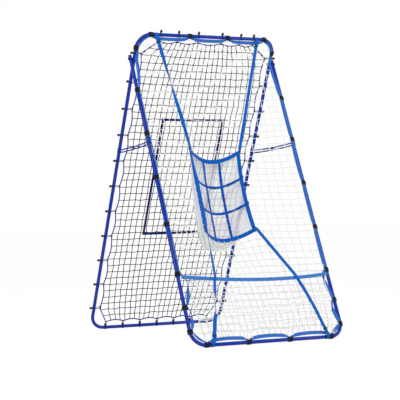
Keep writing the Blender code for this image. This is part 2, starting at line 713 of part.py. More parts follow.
def front_nets():
    """The main net below the hinge: two sides, and a middle above and below the pocket."""
    columns = front_columns()
    clear = POCKET_CLEAR
    inner = POCKET_HALF + clear
    lowest = tape_height(LEG_LENGTH - TAPE_INSET - NET_EDGE - TAPE_BOW)
    highest = HINGE_Z - NET_STRAND / 2 - GAP
    slope = 2 * POCKET_SAG / POCKET_HALF
    over = POCKET_TOP + clear * sqrt(1 + slope**2)
    under = POCKET_BOTTOM - clear * sqrt(1 + slope**2) - POCKET_SAG / HOLES**2
    first, last = UPPER_ROWS, UPPER_ROWS + HOLES + 1
    rows = spread(highest, over, UPPER_ROWS + 1)[:-1] + spread(over, under, HOLES + 2)
    rows += spread(under, lowest, LOWER_ROWS + 1)[1:]
    corner_top = tape_height(SIDE_WRAPS[-1] - WRAP_LENGTH)
    left_edge, right_edge = NET_COLUMNS, NET_COLUMNS + HOLES

    def knot(i, j):
        x, z = columns[i], rows[j]
        if z < corner_top:
            share = (corner_top - z) / (corner_top - lowest)
            x *= 1 - share * (1 - (BOTTOM_WRAP_REACH - WRAP_LENGTH) / -columns[0])
        if j in (first, last) and abs(columns[i]) < inner:
            edge = pocket_point(columns[i] / inner, 0 if j == first else 1)
            edge.z += over - POCKET_TOP if j == first else under - POCKET_BOTTOM
            return edge
        if first < j < last and i in (left_edge, right_edge):
            down = (POCKET_TOP - z) / (POCKET_TOP - POCKET_BOTTOM)
            edge = pocket_point(columns[i] / inner, down)
            edge.x += clear if x > 0 else -clear
            return edge
        return net_point(x, z)

    def piece(name, first_column, last_column, first_row, last_row):
        def station(u, v):
            i = first_column + round(u * (last_column - first_column))
            j = first_row + round(v * (last_row - first_row))
            if (first_column, last_column) == (left_edge, right_edge) and i in (left_edge, right_edge):
                inner_knot = knot(i + 1 if i == left_edge else i - 1, j)
                return knot(i, j) + (inner_knot - knot(i, j)).normalized() * NET_SEAM
            return knot(i, j)

        item = sheet(name, last_column - first_column, last_row - first_row, station, PART)
        wire(item)
        hang(item, front, NET_WHITE)

    piece("front_net_left", 0, left_edge, 0, len(rows) - 1)
    piece("front_net_right", right_edge, len(columns) - 1, 0, len(rows) - 1)
    piece("front_net_high", left_edge, right_edge, 0, first)
    piece("front_net_low", left_edge, right_edge, last, len(rows) - 1)


def front_net_top():
    columns = front_columns()
    lowest = HINGE_Z + NET_STRAND / 2 + GAP
    highest = tape_height(TAPE_INSET + NET_EDGE + TAPE_BOW - ARCH_RISE)
    across = len(columns) - 1
    edge = BACK_X - TAPE_INSET - NET_EDGE
    reaches = (TOP_WRAPS[-1] - WRAP_LENGTH, edge - TOP_NET_TUCK, edge)
    along = len(reaches) - 1

    def station(u, v):
        x = columns[round(u * across)] * reaches[round(v * along)] / -columns[0]
        return net_point(x, highest + (lowest - highest) * v)

    item = sheet("front_net_top", across, along, station, PART)
    wire(item)
    hang(item, back, NET_WHITE)


def trough():
    """Second layer of net in front of the main net, with a slack hem tape along its top."""
    columns = front_columns()
    across = len(columns) - 1
    centres = [hem_centre(x) for x in spread(-TROUGH_END, TROUGH_END, HEM_STEPS + 1)]
    up = FRONT.to_3x3() @ Vector((0, 1, 0))
    hem = tape("trough_hem", centres, [up] * len(centres), TAPE_THICKNESS, PART, TAPE_WIDTH)
    hang(hem, front, HEM_BLUE)
    lowest = tape_height(LEG_LENGTH - TAPE_INSET)

    def station(u, v):
        x = columns[round(u * across)] * (TROUGH_END - NET_STRAND) / -columns[0]
        x *= 1 - TROUGH_PINCH * sin(pi * v) - TROUGH_CORNER * v ** 3
        top = hem_centre(x).z - BELOW_HEM
        z = top + (lowest - top) * v
        return Vector((x, frame_y(z) - trough_out(x, v), z))

    item = sheet("trough_net", across, 2, station, PART)
    wire(item)
    hang(item, front, NET_WHITE)


# Nine-hole pocket
def pocket():
    web = WEB_WIDTH / (2 * POCKET_HALF)
    web_down = WEB_WIDTH / (POCKET_TOP - POCKET_BOTTOM)

    def lines(share):
        hole = (1 - (HOLES + 1) * share) / HOLES
        result = []
        for i in range(HOLES + 1):
            start = i * (hole + share)
            result += [start, start + share]
            if i < HOLES:
                result.append(start + share + hole / 2)
        return result

    x_lines, z_lines = lines(web), lines(web_down)
    count = len(x_lines) - 1

    def in_hole(centre):
        return int(centre.x * count) % 3 and int(centre.y * count) % 3

    def face(u, v):
        return pocket_point(2 * x_lines[round(u * count)] - 1, z_lines[round(v * count)])

    item = sheet("pocket_grid", count, count, face, PART, in_hole)
    solidify(item, WEB_THICKNESS)
    hang(item, front, POCKET_BLUE)

    def shell(i, j):
        x, z = bag_x[i], bag_z[j]
        across, down = (x - web / 2) / (1 - web), (z - web_down / 2) / (1 - web_down)
        middle, level = 1 - (2 * across - 1) ** 4, 1 - (2 * down - 1) ** 4
        out = BAG_BILLOW * (2 * across - 1) * (1 - (2 * across - 1) ** 8) * level
        back = BAG_SEAT + BAG_DEPTH * middle * level
        drop = BAG_HANG * middle * down ** 2 * (1 - down) / MOST_HANG
        return pocket_point(2 * x - 1, z) + Vector((out, back, -drop))

    bag_x = [web / 2] + x_lines[1:-1] + [1 - web / 2]
    bag_z = [web_down / 2] + z_lines[1:-1] + [1 - web_down / 2]
    half = count // 2

    def quarter(name, side, low):
        """A quarter of the bag, from its edges to a little short of the seams in the middle."""
        def station(u, v):
            i, j = half + side * (half - round(u * half)), half + low * (half - round(v * half))
            place = shell(i, j)
            if i == half:
                place += (shell(half + side, j) - shell(half, j)).normalized() * BAG_SEAM
            if j == half:
                place += (shell(i, half + low) - shell(i, half)).normalized() * BAG_SEAM
            return place

        item = sheet(name, half, half, station, PART)
        solidify(item, BAG_THICKNESS)
        hang(item, front, BAG_GREY)

    for side, word in SIDES:
        quarter("catch_bag_high_" + word, side, -1)
        quarter("catch_bag_low_" + word, side, 1)


# Straps
def corner_strap(name, parent, frame, ring_x, ring_y, inward, corner):
    """Webbing from a loop round a tube to a corner of the pocket, with a buckle near the tube."""
    place = place_on(frame, ring_x, ring_y, inward)
    forward = TAPE_LIFT + STRAP_LIFT
    loop = band(place, 0, forward, STRAP_THICKNESS, STRAP_WIDTH)
    start = place @ Vector((0, forward, 0))

    def at(share):
        x = start.x + (corner.x - start.x) * share
        z = start.z + (corner.z - start.z) * share
        return Vector((x, front_y(x, z) - STRAP_LIFT if share else start.y, z))

    trials = [at(share) for share in spread(0.0, 1.0, STRAP_TRIALS)]
    over_hem = [p for p in trials if abs(p.z - hem_centre(p.x).z) < HEM_RISE]
    held = [trials[0], over_hem[0], over_hem[-1], trials[-1]] if over_hem else [trials[0], trials[-1]]
    steps = STRAP_STEPS // 2 if over_hem else STRAP_STEPS
    centres = []
    for first, last in zip(held, held[1:]):
        count = 1 if over_hem and first is over_hem[0] else steps
        for i in range(count):
            taut = first.lerp(last, i / count)
            if i:
                taut.y = min(taut.y, front_y(taut.x, taut.z) - STRAP_LIFT)
            centres.append(taut)
    centres.append(held[-1])
    run = (centres[-1] - centres[0]).normalized()
    across = run.cross(Vector((0, 1, 0))).normalized()
    strip = tape(name, centres, [across] * len(centres), STRAP_THICKNESS, PART, STRAP_WIDTH)
    fuse(name, strip, [loop], parent, STRAP_BLUE)
    return centres, across


def buckle(name, parent, centres, across, look):
    """A black ladder buckle round a strap, a short way from its loop."""
    middle = (centres[1] + centres[2]) / 2
    run = (centres[2] - centres[1]).normalized()
    normal = across.cross(run).normalized()
    basis = Matrix((across, run, normal)).transposed().to_4x4()
    sleeve(name, parent, Matrix.Translation(middle) @ basis, STRAP_WIDTH, STRAP_THICKNESS, BUCKLE_SIZE, look)


def sleeve(name, parent, place, slot_width, slot_height, size, look):
    """A moulded block with a slot through it: local X across the strap, local Y along it."""
    bpy.ops.mesh.primitive_cube_add(size=1)
    item = fresh(name, PART)
    item.data.transform(Matrix.Diagonal((*size, 1)))
    item.data.transform(parent.matrix_world.inverted() @ place)
    rounding = item.modifiers.new("Rounding", "BEVEL")
    rounding.width = MOULDED_EDGE
    rounding.segments = 1
    bpy.ops.mesh.primitive_cube_add(size=1)
    slot = fresh(name + "_slot", CUTTERS)
    slot_size = (slot_width + 2 * SLOT_GAP, 2 * size[1], slot_height + 2 * SLOT_GAP)
    slot.data.transform(Matrix.Diagonal((*slot_size, 1)))
    slot.data.transform(place)
    boolean(item, slot, "DIFFERENCE")
    finish(item, parent, look)


def corner_straps():
    for side, word in SIDES:
        corner_x = side * (POCKET_HALF - WEB_WIDTH / 2)
        top = Vector((corner_x, 0, POCKET_TOP - WEB_WIDTH / 2))
        name = "corner_strap_top_" + word
        reach = side * TOP_STRAP_REACH
        centres, across = corner_strap(name, back, BACK, reach, ARCH_RISE, (0, -1), top)
        buckle("strap_buckle_top_" + word, back, centres, across, BLACK_PLASTIC)
        low = Vector((corner_x, 0, POCKET_BOTTOM + WEB_WIDTH / 2))
        name = "corner_strap_bottom_" + word
        reach = side * BOTTOM_STRAP_REACH
        centres, across = corner_strap(name, front, FRONT, reach, -LEG_LENGTH, (0, 1), low)
        buckle("strap_buckle_bottom_" + word, front, centres, across, BLACK_PLASTIC)


def spread_straps():
    """Straps that stop the legs from spreading, looped round the front and the back leg."""
    ring = TUBE_R + GAP + SPREAD_STRAP_THICKNESS / 4
    for side, word in SIDES:
        front_place = place_on(FRONT, side * FRONT_X, -SPREAD_STRAP_FRONT, (-side, 0))
        back_place = place_on(BACK, side * BACK_X, -SPREAD_STRAP_BACK, (-side, 0))
        loops = [ring_band(p, SPREAD_STRAP_THICKNESS / 2, STRAP_WIDTH) for p in (front_place, back_place)]
        start = FRONT @ Vector((side * FRONT_X, -SPREAD_STRAP_FRONT, -ring))
        end = BACK @ Vector((side * BACK_X, -SPREAD_STRAP_BACK, ring))
        down_front = FRONT.to_3x3() @ Vector((0, -1, 0))
        down_back = BACK.to_3x3() @ Vector((0, -1, 0))
        centres, widths = [], []
        for share in spread(0.0, 1.0, SPREAD_STRAP_STEPS + 1):
            point = start.lerp(end, share)
            point.z -= bow(share, SPREAD_STRAP_SAG)
            centres.append(point)
            widths.append(down_front.lerp(down_back, share))
        strip = tape("spread_strap_" + word, centres, widths, SPREAD_STRAP_THICKNESS, PART, STRAP_WIDTH)
        fuse("spread_strap_" + word, strip, loops, back, STRAP_BLUE)
        half = SPREAD_STRAP_STEPS // 2
        middle = centres[half]
        run = (centres[half + 1] - centres[half - 1]).normalized()
        across = Vector((0, 0, 1))
        basis = Matrix((across, run, across.cross(run))).transposed().to_4x4()
        size = (SLIDER_HEIGHT, SLIDER_LENGTH, SLIDER_THICKNESS)
        place = Matrix.Translation(middle) @ basis
        sleeve("slider_" + word, sliders, place, STRAP_WIDTH, SPREAD_STRAP_THICKNESS, size, BLACK_PLASTIC)


# Back net, its rope and bungees
def bungee(place, rear, ball_inside=False):
    """An elastic loop round a tube and the rope, with its ball on the tube's far side."""
    radius = TUBE_R + GAP + CORD_RADIUS
    points = [place @ Vector((x, y, 0)) for x, y in loop_path(ROPE_INSET, 0, radius, 0, BUNGEE_STEPS)]
    cord = mesh_of(path_curve("bungee_cord", points, CUTTERS, radius=CORD_RADIUS, cyclic=True))
    reach = ROPE_INSET / 2 if ball_inside else -BALL_OUT
    centre = place @ Vector((reach * cos(rear), reach * sin(rear), 0))
    bpy.ops.mesh.primitive_uv_sphere_add(segments=6, ring_count=3, radius=BALL_RADIUS, location=centre)
    return [cord, fresh("bungee_ball", CUTTERS)]


def rope(name, points, places):
    """A stretch of edge rope with its bungees, given on the back frame's plane."""
    route = [BACK @ Vector((x, y, 0)) for x, y in points]
    line = mesh_of(path_curve(name, route, PART, ROPE_RADIUS, sides_res=1))
    pieces = []
    for place, rear, inside in places:
        pieces += bungee(place, rear, inside)
    return fuse(name, line, pieces, back, ROPE_BLUE)


def ropes():
    side_x = BACK_X - ROPE_INSET
    top_y = ARCH_RISE - ROPE_INSET
    low_y = -LEG_LENGTH + ROPE_INSET
    downs = spread(FIRST_BUNGEE, LAST_BUNGEE, SIDE_BUNGEES)
    tops = [-x for x in reversed(TOP_BUNGEES)] + TOP_BUNGEES
    lows = spread(-BOTTOM_BUNGEE_REACH, BOTTOM_BUNGEE_REACH, BOTTOM_BUNGEES)
    apart = 2 * ROPE_RADIUS + GAP
    for side, word in SIDES:
        upper = Vector((side * side_x, UPPER_BUNGEE))
        meet = Vector((side * (TOP_BUNGEES[-1] + ROPE_RADIUS), top_y))
        lower = Vector((side * side_x, -LAST_BUNGEE))
        meet_low = Vector((side * (BOTTOM_BUNGEE_REACH + ROPE_RADIUS), low_y))
        points = [meet + (upper - meet).normalized() * apart]
        for down, share in stations([-UPPER_BUNGEE] + downs, 2):
            points.append((side * (side_x - bow(share, ROPE_BOW)), -down))
        points.append(meet_low + (lower - meet_low).normalized() * apart)
        places = [(place_on(BACK, side * BACK_X, UPPER_BUNGEE, (-side, 0)), 0.0, False)]
        for i, down in enumerate(downs):
            rear = FIRST_BALL_TURN if i == 0 else 0.0
            places.append((place_on(BACK, side * BACK_X, -down, (-side, 0)), rear, False))
        rope("net_rope_" + word, points, places)
    points = [(x, top_y - bow(share, ROPE_BOW)) for x, share in stations(tops, 2)]
    places = [(place_on(BACK, x, ARCH_RISE, (0, -1)), 0.0, False) for x in tops]
    rope("net_rope_top", points, places)
    points = [(x, low_y + bow(share, ROPE_BOW)) for x, share in stations(lows, 2)]
    places = [(place_on(BACK, x, -LEG_LENGTH, (0, 1)), 0.0, True) for x in lows]
    floor_cut(rope("net_rope_bottom", points, places))


def back_net():
    inset = ROPE_INSET + ROPE_BOW + ROPE_RADIUS + GAP + NET_STRAND / 2
    half = BACK_X - inset
    high, low = ARCH_RISE - inset, -LEG_LENGTH + inset
    rows = [high] + spread(0.0, -LAST_BUNGEE, BACK_NET_ROWS + 1) + [low]
    count = len(rows) - 1
    top_share = (TOP_BUNGEES[-1] - 2 * ROPE_RADIUS) / half
    low_share = (BOTTOM_BUNGEE_REACH - 2 * ROPE_RADIUS) / half

    def station(u, v):
        j = round(v * count)
        share = top_share if j == 0 else low_share if j == count else 1.0
        return BACK @ Vector(((2 * u - 1) * half * share, rows[j], 0))

    item = sheet("back_net", BACK_NET_COLUMNS, count, station, PART)
    wire(item)
    hang(item, back, NET_BLACK)
    inner_x, inner_y = ZONE_TAPE / (2 * ZONE_HALF), ZONE_TAPE / (ZONE_BOTTOM - ZONE_TOP)
    lift = NET_STRAND / 2 + GAP + ZONE_THICKNESS / 2

    def zone(u, v):
        x = (0, inner_x, 1 - inner_x, 1)[round(u * 3)]
        y = (0, inner_y, 1 - inner_y, 1)[round(v * 3)]
        down = ZONE_TOP + (ZONE_BOTTOM - ZONE_TOP) * y
        return BACK @ Vector(((2 * x - 1) * ZONE_HALF, -down, lift))

    def in_middle(centre):
        return abs(centre.x - 0.5) < 1 / 6 and abs(centre.y - 0.5) < 1 / 6

    item = sheet("strike_zone_tape", 3, 3, zone, PART, in_middle)
    solidify(item, ZONE_THICKNESS)
    hang(item, back, ZONE_NAVY)


clear_scene()
PART = new_collection("Strike zone net")
CUTTERS = new_collection("Cutters")
BLUE_STEEL = material("blue_powder_coat", (0.03, 0.09, 0.52), 0.35, 0.1)
BLACK_PLASTIC = material("black_plastic", (0.02, 0.02, 0.022), 0.5)
ZINC = material("zinc", (0.6, 0.6, 0.62), 0.35, 1.0)
BORDER_BLUE = material("border_tape", (0.10, 0.22, 0.72), 0.8)
HEM_BLUE = material("trough_hem", (0.05, 0.2, 0.7), 0.8)
STRAP_BLUE = material("blue_webbing", (0.02, 0.11, 0.62), 0.8)
POCKET_BLUE = material("pocket_webbing", (0.01, 0.14, 0.75), 0.8)
ROPE_BLUE = material("edge_rope", (0.02, 0.06, 0.35), 0.8)
NET_WHITE = material("white_net", (0.85, 0.86, 0.84), 0.8)
NET_BLACK = material("black_net", (0.03, 0.03, 0.035), 0.8)
ZONE_NAVY = material("zone_tape", (0.02, 0.04, 0.25), 0.8)
BAG_GREY = material("bag_mesh", (0.75, 0.77, 0.78), 0.8)

front = panel("front_frame", FRONT)
back = panel("back_frame", BACK)
sliders = panel("sliders", Matrix.Translation((0, 0, HINGE_Z)))
bpy.context.view_layer.update()

frame_tubes()
hinge_parts()
side_border(-1, "left")
side_border(1, "right")
bottom_border()
top_border()
front_nets()
front_net_top()
trough()
pocket()
corner_straps()
spread_straps()
ropes()
back_net()
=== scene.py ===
"""Looks of the strike zone net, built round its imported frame.

Metres, +Z up, the pitcher looks along +Y. The back frame and all that hangs on it ride back_frame, the
front frame with its net, trough and pocket ride front_frame, and the two sliders ride strap_sliders.
"""
import json
from math import acos, asin, atan2, cos, exp, pi, radians, sin, tan

import bmesh
import bpy
import numpy as np
from mathutils import Matrix, Vector

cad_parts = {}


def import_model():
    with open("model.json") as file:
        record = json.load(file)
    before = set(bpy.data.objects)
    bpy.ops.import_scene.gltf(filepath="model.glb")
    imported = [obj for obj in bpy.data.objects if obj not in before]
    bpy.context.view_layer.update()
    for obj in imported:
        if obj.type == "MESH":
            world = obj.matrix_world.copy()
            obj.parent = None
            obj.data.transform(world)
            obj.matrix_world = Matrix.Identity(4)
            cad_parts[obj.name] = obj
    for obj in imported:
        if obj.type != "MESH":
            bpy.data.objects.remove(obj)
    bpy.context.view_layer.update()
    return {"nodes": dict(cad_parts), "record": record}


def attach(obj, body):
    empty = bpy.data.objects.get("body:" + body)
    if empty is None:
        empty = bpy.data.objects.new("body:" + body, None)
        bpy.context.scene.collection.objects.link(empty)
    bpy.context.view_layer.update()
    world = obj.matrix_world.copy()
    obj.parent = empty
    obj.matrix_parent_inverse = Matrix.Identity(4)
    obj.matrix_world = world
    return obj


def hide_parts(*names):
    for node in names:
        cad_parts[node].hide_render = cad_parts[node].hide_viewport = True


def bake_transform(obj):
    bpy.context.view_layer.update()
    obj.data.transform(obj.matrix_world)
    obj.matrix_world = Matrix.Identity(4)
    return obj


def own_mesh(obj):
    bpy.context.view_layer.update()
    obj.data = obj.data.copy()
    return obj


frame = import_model()
FOLD = next(joint for joint in frame["record"]["behaviour"]["joints"] if joint["name"] == "fold")

# Camera, fitted to the photograph's frame tubes
CAMERA_TURN = -0.4794019
CAMERA_RISE = -0.0096595
CAMERA_ROLL = -0.0195688
CAMERA_DISTANCE = 8.43889
CAMERA_TARGET = (-0.0433584, 0, 0.8356)
CAMERA_LENS = 122.0

# Studio: each lamp's name, place, energy and size
LAMPS = (
    ("key", (-3.2, -4.2, 4.6), 190, 3.0),
    ("fill", (4.2, -3.0, 2.6), 75, 3.5),
    ("rear", (0.6, 3.8, 4.4), 80, 3.0),
)
LAMP_AIM = Vector((0, 0, 0.9))
FLOOR_HALF = 60
FLOOR_GREY = 0.9
FLOOR_GLOW = 0.975  # how much of the floor's white is its own
SKY_STRENGTH = 0.62

# Frame tubes
FRONT_X = 0.500
BACK_X = 0.4764
TUBE_R = 0.011
TUBE_EASE = 0.0009
TUBE_GAP = 0.00015
HALF_ANGLE = radians(24.2)
LEG_LENGTH = 1.848
ARCH_RISE = 0.160
CORNER_RADIUS = 0.090
ELBOW_ARM = 0.030
ELBOW_REACH = CORNER_RADIUS + ELBOW_ARM
LEG_JOINT = 0.850
LEG_TOP = 0.022
UPPER_LEG_MIDDLE = 0.4
LOWER_LEG_MIDDLE = 1.3
HINGE_Z = FOLD["pos_m"][2]

# Border tape and wraps
TAPE_WIDTH = 0.022
TAPE_THICKNESS = 0.0016
TAPE_INSET = 0.0175
TAPE_LIFT = 0.0145
SNUG = 0.0098  # inset and lift of a tape that lies against its tube
SNUG_TURN = radians(42)
TAPE_TUCK = 0.004  # a net's edge under its tape
WRAP_LENGTH = 0.027
WRAP_THICKNESS = 0.0018
WRAP_SEAT = TUBE_R + 0.0004  # inner radius of a wrap
WRAP_REACH = SNUG * 0.84
WRAP_ROUND = 0.0062  # its radius round the tape
GATHER_REACH = 0.024  # of the tape on each side of a wrap
GATHER = 0.40  # share of the tape's width taken up under a wrap
WRAP_SHARES = {
    -1: (0.118, 0.277, 0.434, 0.598, 0.766, 0.877, 0.955),
    1: (0.136, 0.295, 0.458, 0.619, 0.772, 0.876, 0.960),
}
SIDE_WRAPS = {side: [share * LEG_LENGTH for share in shares] for side, shares in WRAP_SHARES.items()}
SIDE_BOWS = {
    -1: (0.007, 0.001, 0.004, 0.002, 0.003, 0.036, 0.018),
    1: (0.007, 0.001, 0.004, 0.002, 0.003, 0.032, 0.026),
}
TIGHT_SPANS = 4  # above them the side tape lies along its leg
SLACK_SNUG = 0.25  # how closely the lower spans lie against it
BOTTOM_WRAPS = (-0.412, -0.142, 0.131, 0.412)
BOTTOM_TAPE_PAST = 0.006  # the outer wraps
TOP_WRAPS = (-0.392, -0.126, 0.137, 0.400)
SIDE_TOP_WRAP = 0.073
TAPE_BOW = 0.010
TOP_TAPE_BOW = 0.0045
TOP_BULGE = 0.011  # of a tape from its straight line across a corner
BOTTOM_BULGE = {-1: 0.0085, 1: 0.0005}
CORNER_STEPS = 12
SIDE_CORNER_SPAN = (0.08, 0.97)  # the part of a corner where its tape has rows of its own
TOP_CORNER_SPAN = (0.08, 0.92)
SIDE_TAPE_STEPS, BOTTOM_TAPE_STEPS, TOP_TAPE_STEPS = 150, 130, 110
TOP_TAPE_END = 0.004  # above the hinge
WRAP_LAP = (pi / 4 + pi * 0.62, pi / 4 + pi * 1.15)  # where a wrap's free end lies, round the tube
SLACK_TURNS = {
    -1: ((0.1, 42), (0.4, 38), (0.75, -18), (0.95, 0)),
    1: ((0.05, -38), (0.3, -36), (0.5, 5), (0.95, 0)),
}

# Pocket
POCKET_HALF = 0.180
POCKET_TOP = 1.152
POCKET_BOTTOM = 0.644
POCKET_TOP_RECESS = 0.121
POCKET_BOTTOM_RECESS = 0.151
POCKET_SAG = 0.072
POCKET_PINCH = 0.011
POCKET_SIDE_RECESS = 0.018
POCKET_TOP_BULGE = 0.060
POCKET_BOTTOM_BULGE = 0.100
BORDER_WIDTH = 0.022
BORDER_BAND = 0.026  # the border's own width, past the webs' ends
WEB_WIDTH = 0.017
WEB_THICKNESS = 0.0018
WEB_STEPS = {True: 60, False: 46}  # of an upright and of a level web
WEAVE = 0.0011  # how far the inner webs pass over and under each other
LEVEL_LIFT = WEB_THICKNESS * 1.1  # of the border's level edges, over its uprights
EDGE_RAGGED = 0.01  # of a web's width
WEB_RAGGED = 0.10
HOLES = 3
SURFACE_STEP = 0.004  # in shares of the pocket
ACROSS_SHARE = BORDER_WIDTH / (2 * POCKET_HALF)  # of one web
DOWN_SHARE = BORDER_WIDTH / (POCKET_TOP - POCKET_BOTTOM)
EDGE_FACE = Vector((0.90, -0.42, 0))
EDGE_TURN = ((0.0, 0.1), (0.15, 0.3), (0.45, 1.0), (0.85, 1.0), (1.0, 0.4))  # of the left edge, towards it
EDGE_LIFT = 0.008  # of the turned edge, clear of the net behind it
POCKET_SKEW = 0.008  # the right corners hang below the left ones
BAG_DEPTH = 0.095
BAG_HANG = 0.190
BAG_BILLOW = 0.018
BAG_CREASE = 0.006
BAG_FOLDS = 6
BAG_STEPS = 46
BAG_THICKNESS = 0.0009
MOST_HANG = 4 / 27  # of down squared times what is left
BAG_SEAT = 0.004
BAG_CUT = (0.50, 0.715)  # flat, before it is gathered into the border
NET_X = 0.4592

# Nets
CELL_COLUMNS = 11  # each side of the middle
POCKET_COLUMNS = 4
ROWS_ABOVE = 17
ROWS_BESIDE = 13
ROWS_BELOW = 15
FIRST_ROW, LAST_ROW = ROWS_ABOVE, ROWS_ABOVE + ROWS_BESIDE  # beside the pocket
LEFT_COLUMN, RIGHT_COLUMN = CELL_COLUMNS - POCKET_COLUMNS, CELL_COLUMNS + POCKET_COLUMNS
WHITE_CORD = 0.0021
WHITE_KNOT = 0.0034
WHITE_STIR = 0.0018  # of the knots from their even places
WHITE_ROUNDS = 900  # of settling, until the knots lie evenly
WHITE_BEHIND = 0.0030  # the front net behind its tapes
TUCK_ACROSS = BORDER_WIDTH * 0.3 / POCKET_HALF  # the net's edge under the pocket's border
TUCK_DOWN = BORDER_WIDTH * 0.3 / 0.5
BLACK_CORD = 0.0025
BLACK_KNOT = 0.0050
BLACK_STIR = 0.0016
BLACK_ROUNDS = 300
CORD_SAG = 0.0012
BACK_COLUMNS = 22
BACK_ROWS = 42

# Straps
STRAP_WIDTH = 0.022
STRAP_THICKNESS = 0.0016
STRAP_LIFT = 0.0070
STRAP_TRIALS = 241
STRAP_SEAT = TUBE_R + 0.0011  # radius of a strap's loop round its tube
STRAP_FOLD = 0.0016  # and where the loop closes
TOP_STRAP_REACH = {-1: 0.362, 1: 0.340}
BOTTOM_STRAP_REACH = {-1: 0.378, 1: 0.384}
STRAP_OVER_HEM = {-1: 0.306, 1: 0.238}
STRAP_TWISTS = {  # degrees at shares of a strap's length
    ("top", -1): ((0, 20), (0.14, 42), (0.26, 76), (0.40, 108), (0.48, 152), (0.60, 180), (0.71, 202),
                  (0.83, 236), (1, 266)),
    ("top", 1): ((0, 0), (1, 0)),
    ("bottom", -1): ((0, -10), (0.2, -16), (0.3, 62), (0.38, 62), (0.46, 16), (0.72, 16), (0.86, 48),
                     (1, 66)),
    ("bottom", 1): ((0, 10), (1, 0)),
}
HOOK_DOWN = 0.035  # from the strap's loop
HOOK_HALF, HOOK_TALL, HOOK_ROD = 0.0125, 0.0070, 0.0019
HOOK_BAR, HOOK_BAR_LIFT = 0.0016, 0.0028
SLIDER_HALF, SLIDER_TALL, SLIDER_ROD = 0.0095, 0.0120, 0.0021
SLIDER_BAR, SLIDER_BAR_LIFT = 0.0019, 0.0020
SPREAD_STRAP_FRONT = 0.570  # down the leg from the hinge
SPREAD_STRAP_BACK = 0.598
SPREAD_STRAP_SAG = 0.004
SPREAD_STRAP_WIDTH = 0.0085
SPREAD_STRAP_THICKNESS = 0.0024
SPREAD_STRAP_APART = 0.0078  # each run from the pair's middle
SPREAD_STRAP_SEAT = TUBE_R + 0.0014  # radius of its turns round the legs
SPREAD_STRAP_OFF = TUBE_R + 0.0016  # where it leaves a leg
SPREAD_STRAP_CLOSING = 9  # how fast the runs close up, per share of the length

# Trough
HEM_DOWN = LEG_LENGTH - 0.411
HEM_SAG = 0.022
HEM_SLOPE = 0.018  # its right end below its left one
HEM_FORWARD = 0.060
HEM_SEAT = 0.0019
HEM_THICKNESS = TAPE_THICKNESS * 1.3
HEM_STEPS = 70
HEM_RISE = TAPE_WIDTH / 2 * cos(HALF_ANGLE)
TROUGH_END = FRONT_X - TAPE_INSET + TAPE_WIDTH / 4
TROUGH_NET_END = TROUGH_END - 0.006
TROUGH_SEAT = 0.0058
TROUGH_TUCK = 0.0034  # its edges behind the hem and the bottom tape
TROUGH_BELLY = 0.030
TROUGH_CLEAR = 0.005  # inside the side tape, so that its slack spans show whole
TROUGH_PINCH = 0.05
TROUGH_CORNER = 0.13
TROUGH_ROWS = 9

# Rope, bungees and strike zone
ROPE_RADIUS = 0.0036
ROPE_INSET = 0.040
ROPE_BOW = 0.013
SIDE_ROPE_STEPS, BOTTOM_ROPE_STEPS, TOP_ROPE_STEPS = 160, 70, 60
ROPE_NODES = ("net_rope_left", "net_rope_right", "net_rope_top", "net_rope_bottom")
ELASTIC_RADIUS = 0.0021
ELASTIC_GAP = 0.0003
BALL_RADIUS = 0.0085
BALL_OUT = 0.0215
BALL_ARC = (0.12, pi * 0.78)  # its outline from the bottom to the neck, in radians
BALL_NECK = ((0.0046, 0.92), (0.0030, 1.25), (0.0012, 1.36))  # radius, and height in the ball's radii
UPPER_BUNGEE = 0.038
SIDE_BUNGEES = [0.150 + 1.550 * i / 9 for i in range(10)]
FIRST_TURN = radians(60)  # of the side's first bungee round its tube
BOTTOM_BUNGEES = [-0.375 + 0.125 * i for i in range(7)]
TOP_BUNGEES = (-0.325, -0.203, -0.066, 0.100, 0.233, 0.325)
ZONE_TOP = 0.379
ZONE_BOTTOM = 1.181
ZONE_HALF = 0.221
ZONE_TAPE = 0.0165
ZONE_THICKNESS = 0.0011
ZONE_LIFT = 0.0036
ZONE_OVERLAP = 0.0012
ZONE_STEPS_DOWN, ZONE_STEPS_ACROSS = 40, 24

# Seeds of all that is random
KNOT_SEED, WHITE_SEED, BLACK_SEED, TROUGH_SEED, WEB_SEED, BAG_SEED = 4, 7, 3, 11, 5, 9

LOOP_STEPS = 9  # round the smaller end of a loop
SMOOTH_ANGLE = radians(40)
UP = Vector((0, 0, 1))
FRONT = Matrix.Translation((0, 0, HINGE_Z)) @ Matrix.Rotation(pi / 2 - HALF_ANGLE, 4, "X")
BACK = Matrix.Translation((0, 0, HINGE_Z)) @ Matrix.Rotation(pi / 2 + HALF_ANGLE, 4, "X")
SIDES = ((-1, "left"), (1, "right"))
BAG_NODES = ["catch_bag_%s_%s" % (level, word) for level in ("high", "low") for _, word in SIDES]


# Colours and nodes
def srgb(*values):
    """A colour given in 0 to 255, as linear light."""
    shares = [value / 255 for value in values]
    return tuple(s / 12.92 if s <= 10 / 255 else ((s + 0.055) / 1.055) ** 2.4 for s in shares)


def shade(colour, factor):
    return tuple(min(1.0, c * factor) for c in colour)


def new_node(tree, kind, inputs=(), **settings):
    """A node with its settings, each of its sockets linked or given a value."""
    made = tree.nodes.new(kind)
    for key, value in settings.items():
        setattr(made, key, value)
    for key, value in dict(inputs).items():
        if isinstance(value, bpy.types.NodeSocket):
            tree.links.new(value, made.inputs[key])
        else:
            made.inputs[key].default_value = value
    return made


def result(tree, kind, inputs=(), **settings):
    """What such a node gives first."""
    return new_node(tree, kind, inputs, **settings).outputs[0]


